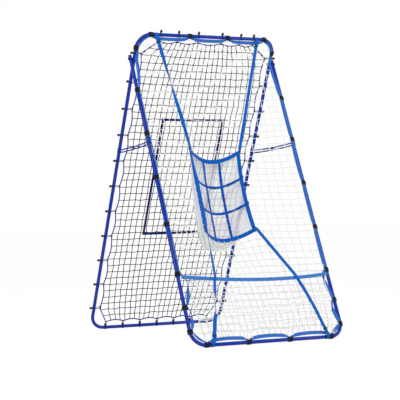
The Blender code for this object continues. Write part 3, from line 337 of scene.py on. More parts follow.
class Look:
    """A material, built one node at a time."""

    def __init__(self, name, colour, roughness, sockets=()):
        self.material = bpy.data.materials.new(name)
        self.material.use_nodes = True
        self.material.diffuse_color = (*colour, 1)
        self.colour = colour
        self.tree = self.material.node_tree
        self.shader = self.tree.nodes["Principled BSDF"]
        for socket, value in {"Base Color": (*colour, 1), "Roughness": roughness, **dict(sockets)}.items():
            self.shader.inputs[socket].default_value = value

    def put(self, source, socket):
        self.tree.links.new(source, self.shader.inputs[socket])

    def node(self, kind, inputs=(), **settings):
        return result(self.tree, kind, inputs, **settings)

    def math(self, operation, first, second=0.0):
        return self.node("ShaderNodeMath", {0: first, 1: second}, operation=operation)

    def times(self, first, second):
        return self.math("MULTIPLY", first, second)

    def plus(self, first, second, share=None):
        """The sum of two values, or of the first and a share of the second."""
        return self.math("ADD", first, second if share is None else self.times(second, share))

    def place(self):
        return new_node(self.tree, "ShaderNodeTexCoord").outputs["Object"]

    def cloth(self):
        """Distance along the piece and across it, from its UV map."""
        uv = self.node("ShaderNodeUVMap", uv_map="cloth")
        parts = new_node(self.tree, "ShaderNodeSeparateXYZ", {0: uv})
        return parts.outputs[0], parts.outputs[1]

    def attribute(self, name):
        return new_node(self.tree, "ShaderNodeAttribute", attribute_name=name).outputs["Fac"]

    def noise(self, scale, detail, roughness=0.5):
        inputs = {"Scale": scale, "Detail": detail, "Roughness": roughness, "Vector": self.place()}
        return self.node("ShaderNodeTexNoise", inputs)

    def cells(self, scale):
        return self.node("ShaderNodeTexVoronoi", {"Scale": scale, "Vector": self.place()})

    def wave(self, value, pitch):
        """A sine that repeats every pitch metres, from -1 to 1."""
        return self.math("SINE", self.times(value, 2 * pi / pitch))

    def between(self, value, low, high):
        """0 below low, 1 above high."""
        return self.node("ShaderNodeMapRange", {"Value": value, "From Min": low, "From Max": high})

    def mix(self, share, *colours):
        first, second = [(*colour, 1) if isinstance(colour, tuple) else colour for colour in colours]
        inputs = {0: share, 6: first, 7: second}
        return new_node(self.tree, "ShaderNodeMix", inputs, data_type="RGBA").outputs[2]

    def mottled(self, patch, low, high):
        """The look's own colour, darker and lighter in patches."""
        return self.mix(patch, shade(self.colour, low), shade(self.colour, high))

    def relief(self, height, distance, strength):
        inputs = {"Height": height, "Distance": distance, "Strength": strength}
        self.put(self.node("ShaderNodeBump", inputs), "Normal")


# Finishes
def powder_coat():
    """Gloss coat with fine orange peel, a little worn."""
    gloss = {"Coat Weight": 0.15, "Coat Roughness": 0.10, "Specular IOR Level": 0.12}
    look = Look("powder_coat", srgb(8, 46, 152), 0.34, gloss)
    cloudy = look.noise(9, 3)
    worn = look.between(look.noise(60, 6, 0.7), 0.66, 0.74)
    base = look.mottled(cloudy, 0.86, 1.12)
    look.put(look.mix(look.times(worn, 0.18), base, srgb(70, 105, 200)), "Base Color")
    look.put(look.plus(0.26, cloudy, 0.16), "Roughness")
    look.relief(look.plus(look.noise(900, 2), look.noise(2600, 1), 0.3), 0.0002, 0.5)
    return look.material


def webbing(name, colour, width, stitch=None):
    """Woven tape: ribs along and across, a firm selvedge and, where wanted, two rows of stitches."""
    soft = {"Sheen Weight": 0.10, "Sheen Roughness": 0.4, "Specular IOR Level": 0.1}
    look = Look(name, colour, 0.72, soft)
    pitch, half = 0.0017, width / 2
    along, across = look.cloth()
    from_middle = look.math("ABSOLUTE", across)
    ribs = look.times(look.wave(along, pitch), look.wave(across, pitch * 1.1))
    twill = look.wave(look.plus(along, across), pitch * 2.2)
    patch = look.noise(22, 3)
    base = look.mix(look.between(ribs, -0.9, 0.9), look.mottled(patch, 0.82, 1.16), shade(colour, 1.25))
    selvedge = look.between(from_middle, half - 0.0022, half - 0.0008)
    base = look.mix(look.times(selvedge, 0.35), base, shade(colour, 0.6))
    height = look.plus(look.plus(ribs, twill, 0.4), look.noise(1500, 2), 0.6)
    if stitch:
        row = look.math("ABSOLUTE", look.math("SUBTRACT", from_middle, half - 0.0034))
        dash = look.between(look.wave(along, 0.0042), -0.5, -0.2)
        sewn = look.times(look.between(row, 0.0007, 0.0004), dash)
        base = look.mix(sewn, base, stitch)
        height = look.plus(height, sewn, 2.5)
    look.put(base, "Base Color")
    look.put(look.plus(0.62, patch, 0.2), "Roughness")
    look.relief(height, 0.00025, 0.7)
    return look.material


def hook_and_loop():
    look = Look("hook_and_loop", srgb(12, 12, 14), 0.9, {"Sheen Weight": 0.06, "Specular IOR Level": 0.15})
    fuzz = look.noise(1400, 4, 0.8)
    look.put(look.mix(fuzz, shade(look.colour, 0.5), srgb(36, 36, 40)), "Base Color")
    look.relief(look.plus(fuzz, look.cells(700)), 0.0006, 0.9)
    return look.material


def net_cord(name, dark, light, pitch, sheen):
    """Twisted net cord, its turns read from the attributes that the cord's making leaves on it."""
    look = Look(name, light, 0.8, {"Sheen Weight": sheen, "Specular IOR Level": 0.15})
    along = look.times(look.attribute("along"), 2 * pi / pitch)
    twist = look.math("SINE", look.plus(along, look.attribute("around"), 4 * pi))
    fibre = look.noise(1800, 2)
    base = look.mix(look.between(look.plus(twist, fibre, 0.8), -0.6, 0.9), dark, light)
    soil = look.between(look.noise(14, 4), 0.35, 0.75)
    look.put(look.mix(soil, base, shade(light, 0.86)), "Base Color")
    look.relief(look.plus(twist, fibre, 0.4), 0.0004, 0.8)
    return look.material


def braided(name, dark, light, radius, pitch):
    """Braid of crossing strands on a round cord, read from its UV map."""
    look = Look(name, dark, 0.72, {"Sheen Weight": 0.08, "Specular IOR Level": 0.15})
    along, around = look.cloth()
    climb = look.times(around, pitch * 2 / (2 * pi * radius))
    crossing = [look.wave(look.math(way, along, climb), pitch / 2) for way in ("ADD", "SUBTRACT")]
    strands = look.math("MAXIMUM", *crossing)
    base = look.mix(look.between(strands, -0.2, 0.9), shade(dark, 0.55), dark)
    look.put(look.mix(look.times(look.noise(18, 3), 0.3), base, light), "Base Color")
    look.relief(look.plus(strands, look.noise(1700, 2), 0.5), 0.0005, 0.8)
    return look.material


def moulded_plastic():
    look = Look("moulded_plastic", srgb(14, 14, 16), 0.42, {"Specular IOR Level": 0.3})
    patch = look.noise(40, 3)
    look.put(look.mottled(patch, 0.8, 1.6), "Base Color")
    look.put(look.plus(0.34, patch, 0.2), "Roughness")
    look.relief(look.noise(1800, 3), 0.0002, 0.4)
    return look.material


def zinc():
    look = Look("zinc_plate", srgb(186, 188, 192), 0.3, {"Metallic": 1.0})
    spangle = look.cells(900)
    look.put(look.mottled(spangle, 0.8, 1.1), "Base Color")
    look.put(look.plus(0.25, look.noise(200, 3), 0.25), "Roughness")
    look.relief(spangle, 0.0001, 0.3)
    return look.material


def fine_mesh():
    """Grey mesh cloth that lets the net behind show through its openings."""
    look = Look("fine_mesh", srgb(248, 249, 250), 0.85, {"Sheen Weight": 0.2})
    threads = [look.wave(way, 0.0032) for way in look.cloth()]
    look.put(look.mottled(look.noise(26, 4), 0.92, 1.04), "Base Color")
    look.put(look.math("MAXIMUM", *[look.between(thread, 0.30, 0.70) for thread in threads]), "Alpha")
    look.relief(look.plus(*threads), 0.0004, 0.6)
    return look.material


# Paths
def bow(share, depth):
    return depth * sin(pi * share)


def spread(first, last, count):
    return [first + (last - first) * i / (count - 1) for i in range(count)]


def arc(radius, first, last, count):
    return [(radius * cos(a), radius * sin(a)) for a in spread(first, last, count)]


def rounded(points):
    """Cut the corners off a closed path three times, so that it runs smooth."""
    points = [Vector(p) for p in points]
    for _ in range(3):
        pairs = zip(points, points[1:] + points[:1])
        points = [first.lerp(last, share) for first, last in pairs for share in (0.25, 0.75)]
    return points


def runs(points, closed=False):
    """Unit vector along the path at each point."""
    ways = []
    for i in range(len(points)):
        before = points[i - 1] if closed or i else points[0]
        after = points[(i + 1) % len(points)] if closed or i < len(points) - 1 else points[-1]
        ways.append((after - before).normalized())
    return ways


def carried(points, first):
    """Vectors across a path, turned no more than the path turns them."""
    acrosses, across = [], Vector(first)
    for run in runs(points):
        across = (across - run * across.dot(run)).normalized()
        acrosses.append(across.copy())
    return acrosses


def twisted(points, acrosses, angles):
    """Turn each vector across a path about the path."""
    rows = zip(runs(points), acrosses, angles)
    return [Matrix.Rotation(angle, 3, run) @ across for run, across, angle in rows]


def table(pairs, value):
    """Eased steps through (value, result) pairs that rise."""
    if value <= pairs[0][0]:
        return pairs[0][1]
    for (v0, r0), (v1, r1) in zip(pairs, pairs[1:]):
        if value <= v1:
            share = (value - v0) / (v1 - v0)
            return r0 + (r1 - r0) * share * share * (3 - 2 * share)
    return pairs[-1][1]


def span_share(value, knots):
    """Which span between two knots a value is in, and how far through it."""
    for i, (first, last) in enumerate(zip(knots, knots[1:])):
        if first <= value <= last:
            return i, (value - first) / (last - first)
    return 0, 0.0


# Mesh making
def round_section(radius, sides):
    return [(radius * cos(2 * pi * i / sides), radius * sin(2 * pi * i / sides)) for i in range(sides)]


def flat_section(width, thickness):
    half, edge, rise = width / 2, width / 2 - thickness * 0.4, thickness / 2
    upper = [(-half, 0), (-edge, rise), (-edge / 2, rise), (0, rise), (edge / 2, rise), (edge, rise)]
    return upper + [(-across, -out) for across, out in upper]


class Shape:
    """Corners, faces and cloth coordinates of one piece, gathered before its mesh is made."""

    def __init__(self):
        self.corners = []
        self.faces = []
        self.cloth = []

    def ring(self, points):
        start = len(self.corners)
        self.corners += [Vector(p) for p in points]
        return start

    def bridge(self, first, last, count, u0, u1, v):
        for i in range(count):
            j = (i + 1) % count
            self.faces.append((first + i, first + j, last + j, last + i))
            self.cloth.append(((u0, v[i]), (u0, v[i + 1]), (u1, v[i + 1]), (u1, v[i])))

    def skin(self, rings, lengths, v, end=None):
        """Faces from ring to ring, then back to the first ring or over both ends."""
        count = len(v) - 1
        for i in range(len(rings) - 1):
            self.bridge(rings[i], rings[i + 1], count, lengths[i], lengths[i + 1], v)
        if end is not None:
            self.bridge(rings[-1], rings[0], count, lengths[-1], end, v)
            return
        for first, u in ((rings[0], lengths[0]), (rings[-1], lengths[-1])):
            self.faces.append(tuple(first + i for i in range(count)))
            self.cloth.append(tuple((u, v[i]) for i in range(count)))

    def sweep(self, points, acrosses, section, closed=False, flat=False, widths=None):
        """Carry a closed section along a path. Its first number runs across, its second out."""
        if flat:
            v = [a for a, _ in section] + [section[0][0]]
        else:
            size = [Vector(p) for p in section]
            v = [0.0]
            for first, last in zip(size, size[1:] + size[:1]):
                v.append(v[-1] + (last - first).length)
        rings, lengths, along = [], [], 0.0
        for i, (point, run, across) in enumerate(zip(points, runs(points, closed), acrosses)):
            if i:
                along += (point - points[i - 1]).length
            out = run.cross(across).normalized()
            wide = widths[i] if widths else 1.0
            thick = 1.0 if flat else wide
            rings.append(self.ring([point + across * (a * wide) + out * (b * thick) for a, b in section]))
            lengths.append(along)
        self.skin(rings, lengths, v, along + (points[0] - points[-1]).length if closed else None)

    def ribbon(self, points, acrosses, width, thickness, widths=None):
        self.sweep(points, acrosses, flat_section(width, thickness), flat=True, widths=widths)

    def loop(self, place, outline, section, flat=True):
        """A closed line round place's Z, which is the tube's own way."""
        points = [place @ Vector((x, y, 0)) for x, y in outline]
        self.sweep(points, [place.to_3x3() @ UP] * len(points), section, closed=True, flat=flat)

    def turned(self, profile, sides):
        """Turn an outline of (radius, height) pairs about Z, closed at both ends."""
        v = [2 * pi * profile[len(profile) // 2][0] * i / sides for i in range(sides + 1)]
        rings, lengths, along = [], [], 0.0
        for i, (radius, height) in enumerate(profile):
            if i:
                along += ((radius - profile[i - 1][0]) ** 2 + (height - profile[i - 1][1]) ** 2) ** 0.5
            rings.append(self.ring([(x, y, height) for x, y in round_section(radius, sides)]))
            lengths.append(along)
        self.skin(rings, lengths, v)

    def grid(self, points, u, v):
        """An open sheet through rows of points."""
        rows, columns = len(points), len(points[0])
        start = self.ring([p for row in points for p in row])
        for j in range(rows - 1):
            for i in range(columns - 1):
                a = start + j * columns + i
                self.faces.append((a, a + 1, a + 1 + columns, a + columns))
                self.cloth.append(((u[i], v[j]), (u[i + 1], v[j]), (u[i + 1], v[j + 1]), (u[i], v[j + 1])))

    def mesh(self, name, look):
        data = bpy.data.meshes.new(name)
        data.from_pydata([tuple(c) for c in self.corners], [], self.faces)
        layer = data.uv_layers.new(name="cloth")
        layer.data.foreach_set("uv", [value for face in self.cloth for corner in face for value in corner])
        shape = bmesh.new()
        shape.from_mesh(data)
        bmesh.ops.recalc_face_normals(shape, faces=shape.faces)
        shape.to_mesh(data)
        shape.free()
        data.materials.append(look)
        data.shade_smooth()
        data.set_sharp_from_angle(angle=SMOOTH_ANGLE)
        return data


def shown(name, data):
    item = bpy.data.objects.new(name, data)
    bpy.context.scene.collection.objects.link(item)
    return item


def plain(item, name):
    """The object's mesh as its modifiers leave it, in an object that has none."""
    bpy.context.view_layer.update()
    evaluated = item.evaluated_get(bpy.context.evaluated_depsgraph_get())
    data = bpy.data.meshes.new_from_object(evaluated)
    data.name = name
    bpy.data.objects.remove(item, do_unlink=True)
    return shown(name, data)


def fitted(item, slot, body, *nodes):
    """Hide the CAD nodes that a piece stands for and hang it on the body that it rides, if it has one.
    slot, its finish, is not used.
    """
    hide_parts(*nodes)
    if body:
        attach(item, body)
    return item


def piece(name, shape, look, slot, body, *nodes):
    return fitted(shown(name, shape.mesh(name, look)), slot, body, *nodes)


def bent(item):
    """Cloth that hangs from both frames: its place is baked into its mesh."""
    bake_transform(item)


def pressed(item):
    """Cloth behind the front frame gets a mesh of its own."""
    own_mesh(item)


# Geometry Nodes trees
def new_tree(name, sizes):
    """A tree that takes geometry, its own sizes and a material, and what its input node gives."""
    tree = bpy.data.node_groups.new(name, "GeometryNodeTree")
    for label, kind in {"Geometry": "Geometry", **sizes, "Material": "Material"}.items():
        tree.interface.new_socket(label, in_out="INPUT", socket_type="NodeSocket" + kind)
    tree.interface.new_socket("Geometry", in_out="OUTPUT", socket_type="NodeSocketGeometry")
    return tree, new_node(tree, "NodeGroupInput").outputs


def closed_tree(tree, geometry, material):
    """End a tree in real copies with their finish."""
    real = result(tree, "GeometryNodeRealizeInstances", {"Geometry": geometry})
    painted = result(tree, "GeometryNodeSetMaterial", {"Geometry": real, "Material": material})
    new_node(tree, "NodeGroupOutput", {0: painted})
    return tree


def marked(tree, geometry, name, value):
    """Keep a value on the geometry under a name."""
    inputs = {"Geometry": geometry, "Name": name, "Value": value}
    return result(tree, "GeometryNodeStoreNamedAttribute", inputs, data_type="FLOAT")


def net_tree():
    """Cords along the edges of a mesh and a knot at each marked corner."""
    tree, given = new_tree("net_cords", {"Cord Radius": "Float", "Knot Radius": "Float"})
    place = new_node(tree, "GeometryNodeSplineParameter").outputs
    lines = result(tree, "GeometryNodeMeshToCurve", {"Mesh": given["Geometry"]})
    lines = marked(tree, lines, "along", place["Length"])
    inputs = {"Resolution": 6, "Radius": given["Cord Radius"]}
    circle = result(tree, "GeometryNodeCurvePrimitiveCircle", inputs)
    section = marked(tree, circle, "around", place["Factor"])
    inputs = {"Curve": lines, "Profile Curve": section, "Fill Caps": True}
    cords = result(tree, "GeometryNodeCurveToMesh", inputs)
    knot = result(tree, "GeometryNodeMeshIcoSphere", {"Radius": given["Knot Radius"], "Subdivisions": 1})
    tied = result(tree, "GeometryNodeInputNamedAttribute", {"Name": "knot"}, data_type="FLOAT")
    chosen = result(tree, "FunctionNodeCompare", {0: tied, 1: 0.5}, operation="GREATER_THAN")
    inputs = {"Min": (0, 0, 0), "Max": (6.28, 6.28, 6.28), "Seed": KNOT_SEED}
    turned = result(tree, "FunctionNodeRandomValue", inputs, data_type="FLOAT_VECTOR")
    inputs = {"Points": given["Geometry"], "Selection": chosen, "Instance": knot, "Rotation": turned,
              "Scale": (1.0, 1.0, 0.8)}
    knots = result(tree, "GeometryNodeInstanceOnPoints", inputs)
    both = new_node(tree, "GeometryNodeJoinGeometry")
    for part in (cords, knots):
        tree.links.new(part, both.inputs[0])
    soft = result(tree, "GeometryNodeSetShadeSmooth", {"Geometry": both.outputs[0], "Shade Smooth": True})
    return closed_tree(tree, soft, given["Material"])


def copies_tree():
    """A copy of one small part at each corner of a mesh, turned by the corner's own angles."""
    tree, given = new_tree("placed_copies", {"Part": "Object"})
    part = new_node(tree, "GeometryNodeObjectInfo", {"Object": given["Part"]}).outputs["Geometry"]
    angles = result(tree, "GeometryNodeInputNamedAttribute", {"Name": "turn"}, data_type="FLOAT_VECTOR")
    turned = result(tree, "FunctionNodeEulerToRotation", {0: angles})
    inputs = {"Points": given["Geometry"], "Instance": part, "Rotation": turned}
    return closed_tree(tree, result(tree, "GeometryNodeInstanceOnPoints", inputs), given["Material"])


def grown(name, seed, tree, values):
    """Run a tree on a seed mesh and keep the result as a plain mesh."""
    helper = shown(name + "_seed", seed)
    modifier = helper.modifiers.new("Grow", "NODES")
    modifier.node_group = tree
    for entry in tree.interface.items_tree:
        if entry.in_out == "INPUT" and entry.name in values:
            modifier[entry.identifier] = values[entry.name]
    return plain(helper, name)


def net(name, chains, kind, body, *nodes):
    """Net cords of one kind, white or black, through chains of (point, has a knot)."""
    cord, knot, look = NET_KINDS[kind]
    corners, edges, ties = [], [], []
    for chain in chains:
        start = len(corners)
        corners += [tuple(point) for point, _ in chain]
        ties += [float(tied) for _, tied in chain]
        edges += [(start + i, start + i + 1) for i in range(len(chain) - 1)]
    seed = bpy.data.meshes.new(name + "_seed")
    seed.from_pydata(corners, edges, [])
    seed.attributes.new("knot", "FLOAT", "POINT").data.foreach_set("value", ties)
    item = grown(name, seed, NET_TREE, {"Cord Radius": cord, "Knot Radius": knot, "Material": look})
    return fitted(item, kind, body, *nodes)


def copies(name, part, places, look, body, *nodes):
    """One small black part, drawn about its own origin, set in each place."""
    seed = bpy.data.meshes.new(name + "_seed")
    seed.from_pydata([tuple(place.translation) for place in places], [], [])
    turns = [value for place in places for value in place.to_euler()]
    seed.attributes.new("turn", "FLOAT_VECTOR", "POINT").data.foreach_set("vector", turns)
    pattern = shown(name + "_pattern", part.mesh(name + "_pattern", look))
    item = grown(name, seed, COPIES_TREE, {"Part": pattern, "Material": look})
    bpy.data.objects.remove(pattern, do_unlink=True)
    item.data.set_sharp_from_angle(angle=SMOOTH_ANGLE)
    fitted(item, "black_plastic", body, *nodes)


# Surfaces shared with the part
def frame_y(z):
    return -abs(HINGE_Z - z) * tan(HALF_ANGLE) - TAPE_LIFT / cos(HALF_ANGLE)


def tape_height(down):
    rise = TAPE_LIFT * sin(HALF_ANGLE)
    return HINGE_Z - down * cos(HALF_ANGLE) + (rise if down > 0 else -rise)


def tape_down(z):
    """The way back from tape_height."""
    rise = TAPE_LIFT * sin(HALF_ANGLE)
    return (HINGE_Z - z + (rise if z < HINGE_Z else -rise)) / cos(HALF_ANGLE)


def middle_y(z):
    """The net's middle, which funnels from the frame's plane to the pocket."""
    bottom = tape_height(LEG_LENGTH - 2 * TAPE_INSET)
    top = tape_height(2 * TAPE_INSET - ARCH_RISE)
    if not bottom < z < top:
        return frame_y(z)
    heights = (bottom, POCKET_BOTTOM, POCKET_TOP, top)
    low = (POCKET_BOTTOM - HINGE_Z) * tan(HALF_ANGLE) + POCKET_BOTTOM_RECESS
    high = (POCKET_TOP - HINGE_Z) * tan(HALF_ANGLE) + POCKET_TOP_RECESS
    return float(np.interp(z, heights, (frame_y(bottom), low, high, frame_y(top))))


def net_y(x, z):
    share = min(1.0, max(0.0, (NET_X - abs(x)) / (NET_X - POCKET_HALF)))
    return frame_y(z) + share * (middle_y(z) - frame_y(z))


def pocket_point(across, down, lift=0.0):
    z = POCKET_TOP + (POCKET_BOTTOM - POCKET_TOP) * down
    hollow = 4 * down * (1 - down) if 0 <= down <= 1 else 0.0
    crown = max(0.0, 1 - across * across)
    bulge = POCKET_TOP_BULGE + (POCKET_BOTTOM_BULGE - POCKET_TOP_BULGE) * down
    x = across * (POCKET_HALF - POCKET_PINCH * hollow)
    y = middle_y(z) + POCKET_SIDE_RECESS * hollow + bulge * crown - lift
    return Vector((x, y, z - POCKET_SAG * crown - POCKET_SKEW * across * (1 - down)))


def hem_centre(x):
    crown = 1 - (x / TROUGH_END) ** 2
    z = tape_height(HEM_DOWN) - HEM_SAG * crown - HEM_SLOPE * (x / TROUGH_END + 1) / 2
    return Vector((x, frame_y(z) - HEM_SEAT / cos(HALF_ANGLE) - HEM_FORWARD * crown, z))


def trough_out(x, share):
    """How far the trough's net stands in front of the front frame's plane."""
    crown = max(0.0, 1 - (x / TROUGH_END) ** 2)
    return TROUGH_SEAT + HEM_FORWARD * crown * (1 - share) + TROUGH_BELLY * sin(pi * share) * crown


def front_y(x, z):
    """The foremost net or hem at a place on the front panel."""
    hem = hem_centre(x)
    if z > hem.z + HEM_RISE:
        return net_y(x, z)
    high, low = hem.z - HEM_RISE, tape_height(LEG_LENGTH - TAPE_INSET)
    return frame_y(z) - trough_out(x, min(1.0, max(0.0, (high - z) / (high - low))))


# Where the tapes lie
def near_wrap(value, wraps):
    """1 at a wrap, falling off on both sides of it."""
    gap = min(abs(value - wrap) for wrap in wraps)
    return exp(-(gap / GATHER_REACH) ** 2)


def gathered(value, wraps):
    return 1 - GATHER * near_wrap(value, wraps)


def cut_corner(start, end, share, bulge):
    """A tape's centre on its way across a corner."""
    push = bow(share, bulge)
    return tuple(first + (last - first) * share + push for first, last in zip(start, end))


def top_corner(share):
    """The top tape's centre from the wrap on the arch's side to the one on the top tube."""
    return cut_corner((BACK_X - SNUG, SIDE_TOP_WRAP), (TOP_WRAPS[-1], ARCH_RISE - SNUG), share, TOP_BULGE)


def bottom_corner(side, share):
    """The side tape's centre from its last wrap to the bottom tube's first: how far out and down."""
    last = SIDE_WRAPS[side][-1]
    start = (FRONT_X - SNUG - bend(last), last)
    return cut_corner(start, (BOTTOM_WRAPS[-1], LEG_LENGTH - SNUG), share, BOTTOM_BULGE[side])


def elbow_turn(down):
    return asin(max(0.0, down - LEG_LENGTH + CORNER_RADIUS) / CORNER_RADIUS)


def bend(down):
    """How far the elbow has turned in from the leg's line."""
    return CORNER_RADIUS * (1 - cos(elbow_turn(down)))


def on_corner(route, height):
    """The corner route's distance from the middle at a height."""
    points = [route(share) for share in spread(0.0, 1.0, 21)]
    return float(np.interp(height, [y for _, y in points], [x for x, _ in points]))


def side_tape_x(side, down):
    """Centre of the side tape from the middle, down a leg or up the arch."""
    arch, leg = BACK_X - SNUG, FRONT_X - SNUG
    wraps, bows = SIDE_WRAPS[side], SIDE_BOWS[side]
    if down < -SIDE_TOP_WRAP:
        return on_corner(top_corner, -down)
    if down < wraps[0]:
        share = (down + SIDE_TOP_WRAP) / (wraps[0] + SIDE_TOP_WRAP)
        return arch + (leg - arch) * share - bow(share, bows[0])
    if down > wraps[-1]:
        return on_corner(lambda share: bottom_corner(side, share), down)
    span, share = span_share(down, wraps)
    return leg - bend(down) - bow(share ** 0.6 if span >= TIGHT_SPANS else share, bows[span + 1])


def side_snug(side, down):
    """How closely the side tape lies against the leg: 0 is loose, 1 is snug."""
    wraps = SIDE_WRAPS[side]
    if down > wraps[TIGHT_SPANS]:
        return max(near_wrap(down, wraps), SLACK_SNUG)
    return table(((-SIDE_TOP_WRAP, 1), (-SIDE_TOP_WRAP * 0.3, 0), (0.13, 0), (wraps[0], 1)), down)


def side_tape_turn(side, down):
    """Turn of the side tape. Its slack lower spans start edge-on and end flat."""
    turn = SNUG_TURN * side_snug(side, down)
    wraps = SIDE_WRAPS[side]
    if down > wraps[TIGHT_SPANS]:
        _, share = span_share(down, wraps)
        turn += (1 - near_wrap(down, wraps)) * radians(table(SLACK_TURNS[side], share))
    return turn


def loose(depth, snug):
    """How far a tape's centre lies in from its tube, between a wrap and the middle of a span."""
    return SNUG + (TAPE_INSET - SNUG) * (1 - snug) + depth


def lifted(snug):
    return TAPE_LIFT + (SNUG - TAPE_LIFT) * snug


def side_edge(side, down):
    """Inner edge of the side tape from the middle, and its lift off the leg's plane."""
    snug, turn = side_snug(side, down), side_tape_turn(side, down)
    half = (TAPE_WIDTH / 2 * gathered(down, SIDE_WRAPS[side]) - TAPE_TUCK) * cos(turn)
    return side_tape_x(side, down) - half * cos(turn), lifted(snug) - half * sin(turn)


def top_tape_up(x):
    """Centre of the top tape above the hinge axis, in the arch's plane."""
    _, share = span_share(x, TOP_WRAPS)
    return ARCH_RISE - loose(bow(share, TOP_TAPE_BOW), near_wrap(x, TOP_WRAPS))


def bottom_tape_down(x):
    _, share = span_share(x, BOTTOM_WRAPS)
    return LEG_LENGTH - loose(bow(share, TAPE_BOW), near_wrap(x, BOTTOM_WRAPS))


def out_of(panel):
    """The way that a frame's plane faces."""
    return panel.to_3x3() @ UP


def place_on(panel, x, y, inward):
    """A place on a frame's plane: local X inward, local Y forwards, local Z along the tube."""
    inward = Vector((*inward, 0))
    basis = Matrix((inward, UP, inward.cross(UP))).transposed().to_4x4()
    return panel @ Matrix.Translation((x, y, 0)) @ basis


def round_two(first_radius, reach, lift, far_radius):
    """Outline of a loop pulled tight round a tube at the origin and something round at (reach, lift)."""
    angle = atan2(lift, reach)
    open_by = acos((first_radius - far_radius) / (reach * reach + lift * lift) ** 0.5)
    far = arc(far_radius, angle - open_by, angle + open_by, LOOP_STEPS)
    near = arc(first_radius, angle + open_by, angle + 2 * pi - open_by, 2 * LOOP_STEPS)
    return near + [(reach + x, lift + y) for x, y in far]


# Tubes
def elbow_path(x, y, side, up):
    """Down one arm, round the bend and out along the other."""
    centre_x, centre_y = x + side * CORNER_RADIUS, y + up * CORNER_RADIUS
    arms = (ELBOW_ARM - TUBE_GAP, ELBOW_ARM * 0.5)
    points = [(x, centre_y + up * arm, 0) for arm in arms]
    points += [(centre_x - side * a, centre_y - up * b, 0) for a, b in arc(CORNER_RADIUS, 0.0, pi / 2, 15)]
    return points + [(centre_x + side * arm, y, 0) for arm in reversed(arms)]


def tube(node, panel, points, body):
    """A tube with eased ends, along points on a frame's plane."""
    points = [panel @ Vector(p) for p in points]
    first = points[0] + (points[1] - points[0]).normalized() * TUBE_EASE
    last = points[-1] + (points[-2] - points[-1]).normalized() * TUBE_EASE
    path = [points[0], first, *points[1:-1], last, points[-1]]
    narrow = 1 - TUBE_EASE * 0.6 / TUBE_R
    widths = [narrow] + [1.0] * (len(path) - 2) + [narrow]
    shape = Shape()
    shape.sweep(path, carried(path, out_of(panel)), round_section(TUBE_R, 24), widths=widths)
    piece("steel_" + node, shape, POWDER, "blue_powder_coat", body, node)


def level_tube(node, panel, half, y, body):
    span = half - ELBOW_REACH - TUBE_GAP
    tube(node, panel, [(x, y, 0) for x in (-span, 0, span)], body)


def frame_tubes():
    arch_top = ARCH_RISE - ELBOW_REACH - TUBE_GAP
    lowest = TUBE_GAP - (LEG_LENGTH - CORNER_RADIUS - ELBOW_ARM)
    frames = (("front", FRONT, FRONT_X, LEG_TOP), ("back", BACK, BACK_X, arch_top))
    for side, word in SIDES:
        for name, panel, half, top in frames:
            x, body = side * half, name + "_frame"
            upper = (top, -UPPER_LEG_MIDDLE, -LEG_JOINT + TUBE_GAP)
            lower = (-LEG_JOINT - TUBE_GAP, -LOWER_LEG_MIDDLE, lowest)
            tube("%s_upper_leg_%s" % (name, word), panel, [(x, y, 0) for y in upper], body)
            tube("%s_lower_leg_%s" % (name, word), panel, [(x, y, 0) for y in lower], body)
            tube("%s_elbow_%s" % (name, word), panel, elbow_path(x, -LEG_LENGTH, -side, 1), body)
        tube("top_elbow_" + word, BACK, elbow_path(side * BACK_X, ARCH_RISE, -side, -1), "back_frame")
    for name, panel, half, _ in frames:
        level_tube(name + "_bottom_tube", panel, half, -LEG_LENGTH, name + "_frame")
    level_tube("top_tube", BACK, BACK_X, ARCH_RISE, "back_frame")


# Border tapes and wraps
def tape_row(x, y, snug):
    """A tape's centre, how snug it lies, its turn and the share of its width that is left."""
    return x, y, snug, SNUG_TURN * snug, 1 - GATHER * snug


def border_tape(word, panel, body, sign, route):
    """A tape through rows such as tape_row's. Its inner edge turns back against its tube."""
    points = [panel @ Vector((x, y, lifted(snug))) for x, y, snug, _, _ in route]
    acrosses, out = [], out_of(panel)
    for run, row in zip(runs(points), route):
        inward = run.cross(out).normalized() * sign
        acrosses.append(inward * cos(row[3]) - out * sin(row[3]))
    shape = Shape()
    shape.ribbon(points, acrosses, TAPE_WIDTH, TAPE_THICKNESS, [wide for *_, wide in route])
    piece("border_tape_" + word, shape, BORDER, "border_tape", body, "border_" + word)


def side_tape(side, word):
    wraps = SIDE_WRAPS[side]
    route = []
    for d in spread(0.0, wraps[-1], SIDE_TAPE_STEPS):
        x, snug, turn = side_tape_x(side, d), side_snug(side, d), side_tape_turn(side, d)
        route.append((side * x, -d, snug, turn, gathered(d, wraps)))
    for i, share in enumerate(spread(*SIDE_CORNER_SPAN, CORNER_STEPS), 1):
        x, down = bottom_corner(side, share)
        row = tape_row(side * x, -down, 1 - bow(share, 0.5))
        route.append((*row[:-1], 1 - GATHER * (1 - bow(i / (CORNER_STEPS + 1), 1))))
    border_tape(word, FRONT, "front_frame", side, route)


def bottom_tape():
    route = []
    first, last = BOTTOM_WRAPS[0] - BOTTOM_TAPE_PAST, BOTTOM_WRAPS[-1] + BOTTOM_TAPE_PAST
    for x in spread(first, last, BOTTOM_TAPE_STEPS):
        route.append(tape_row(x, -bottom_tape_down(x), near_wrap(x, BOTTOM_WRAPS)))
    border_tape("bottom", FRONT, "front_frame", -1, route)


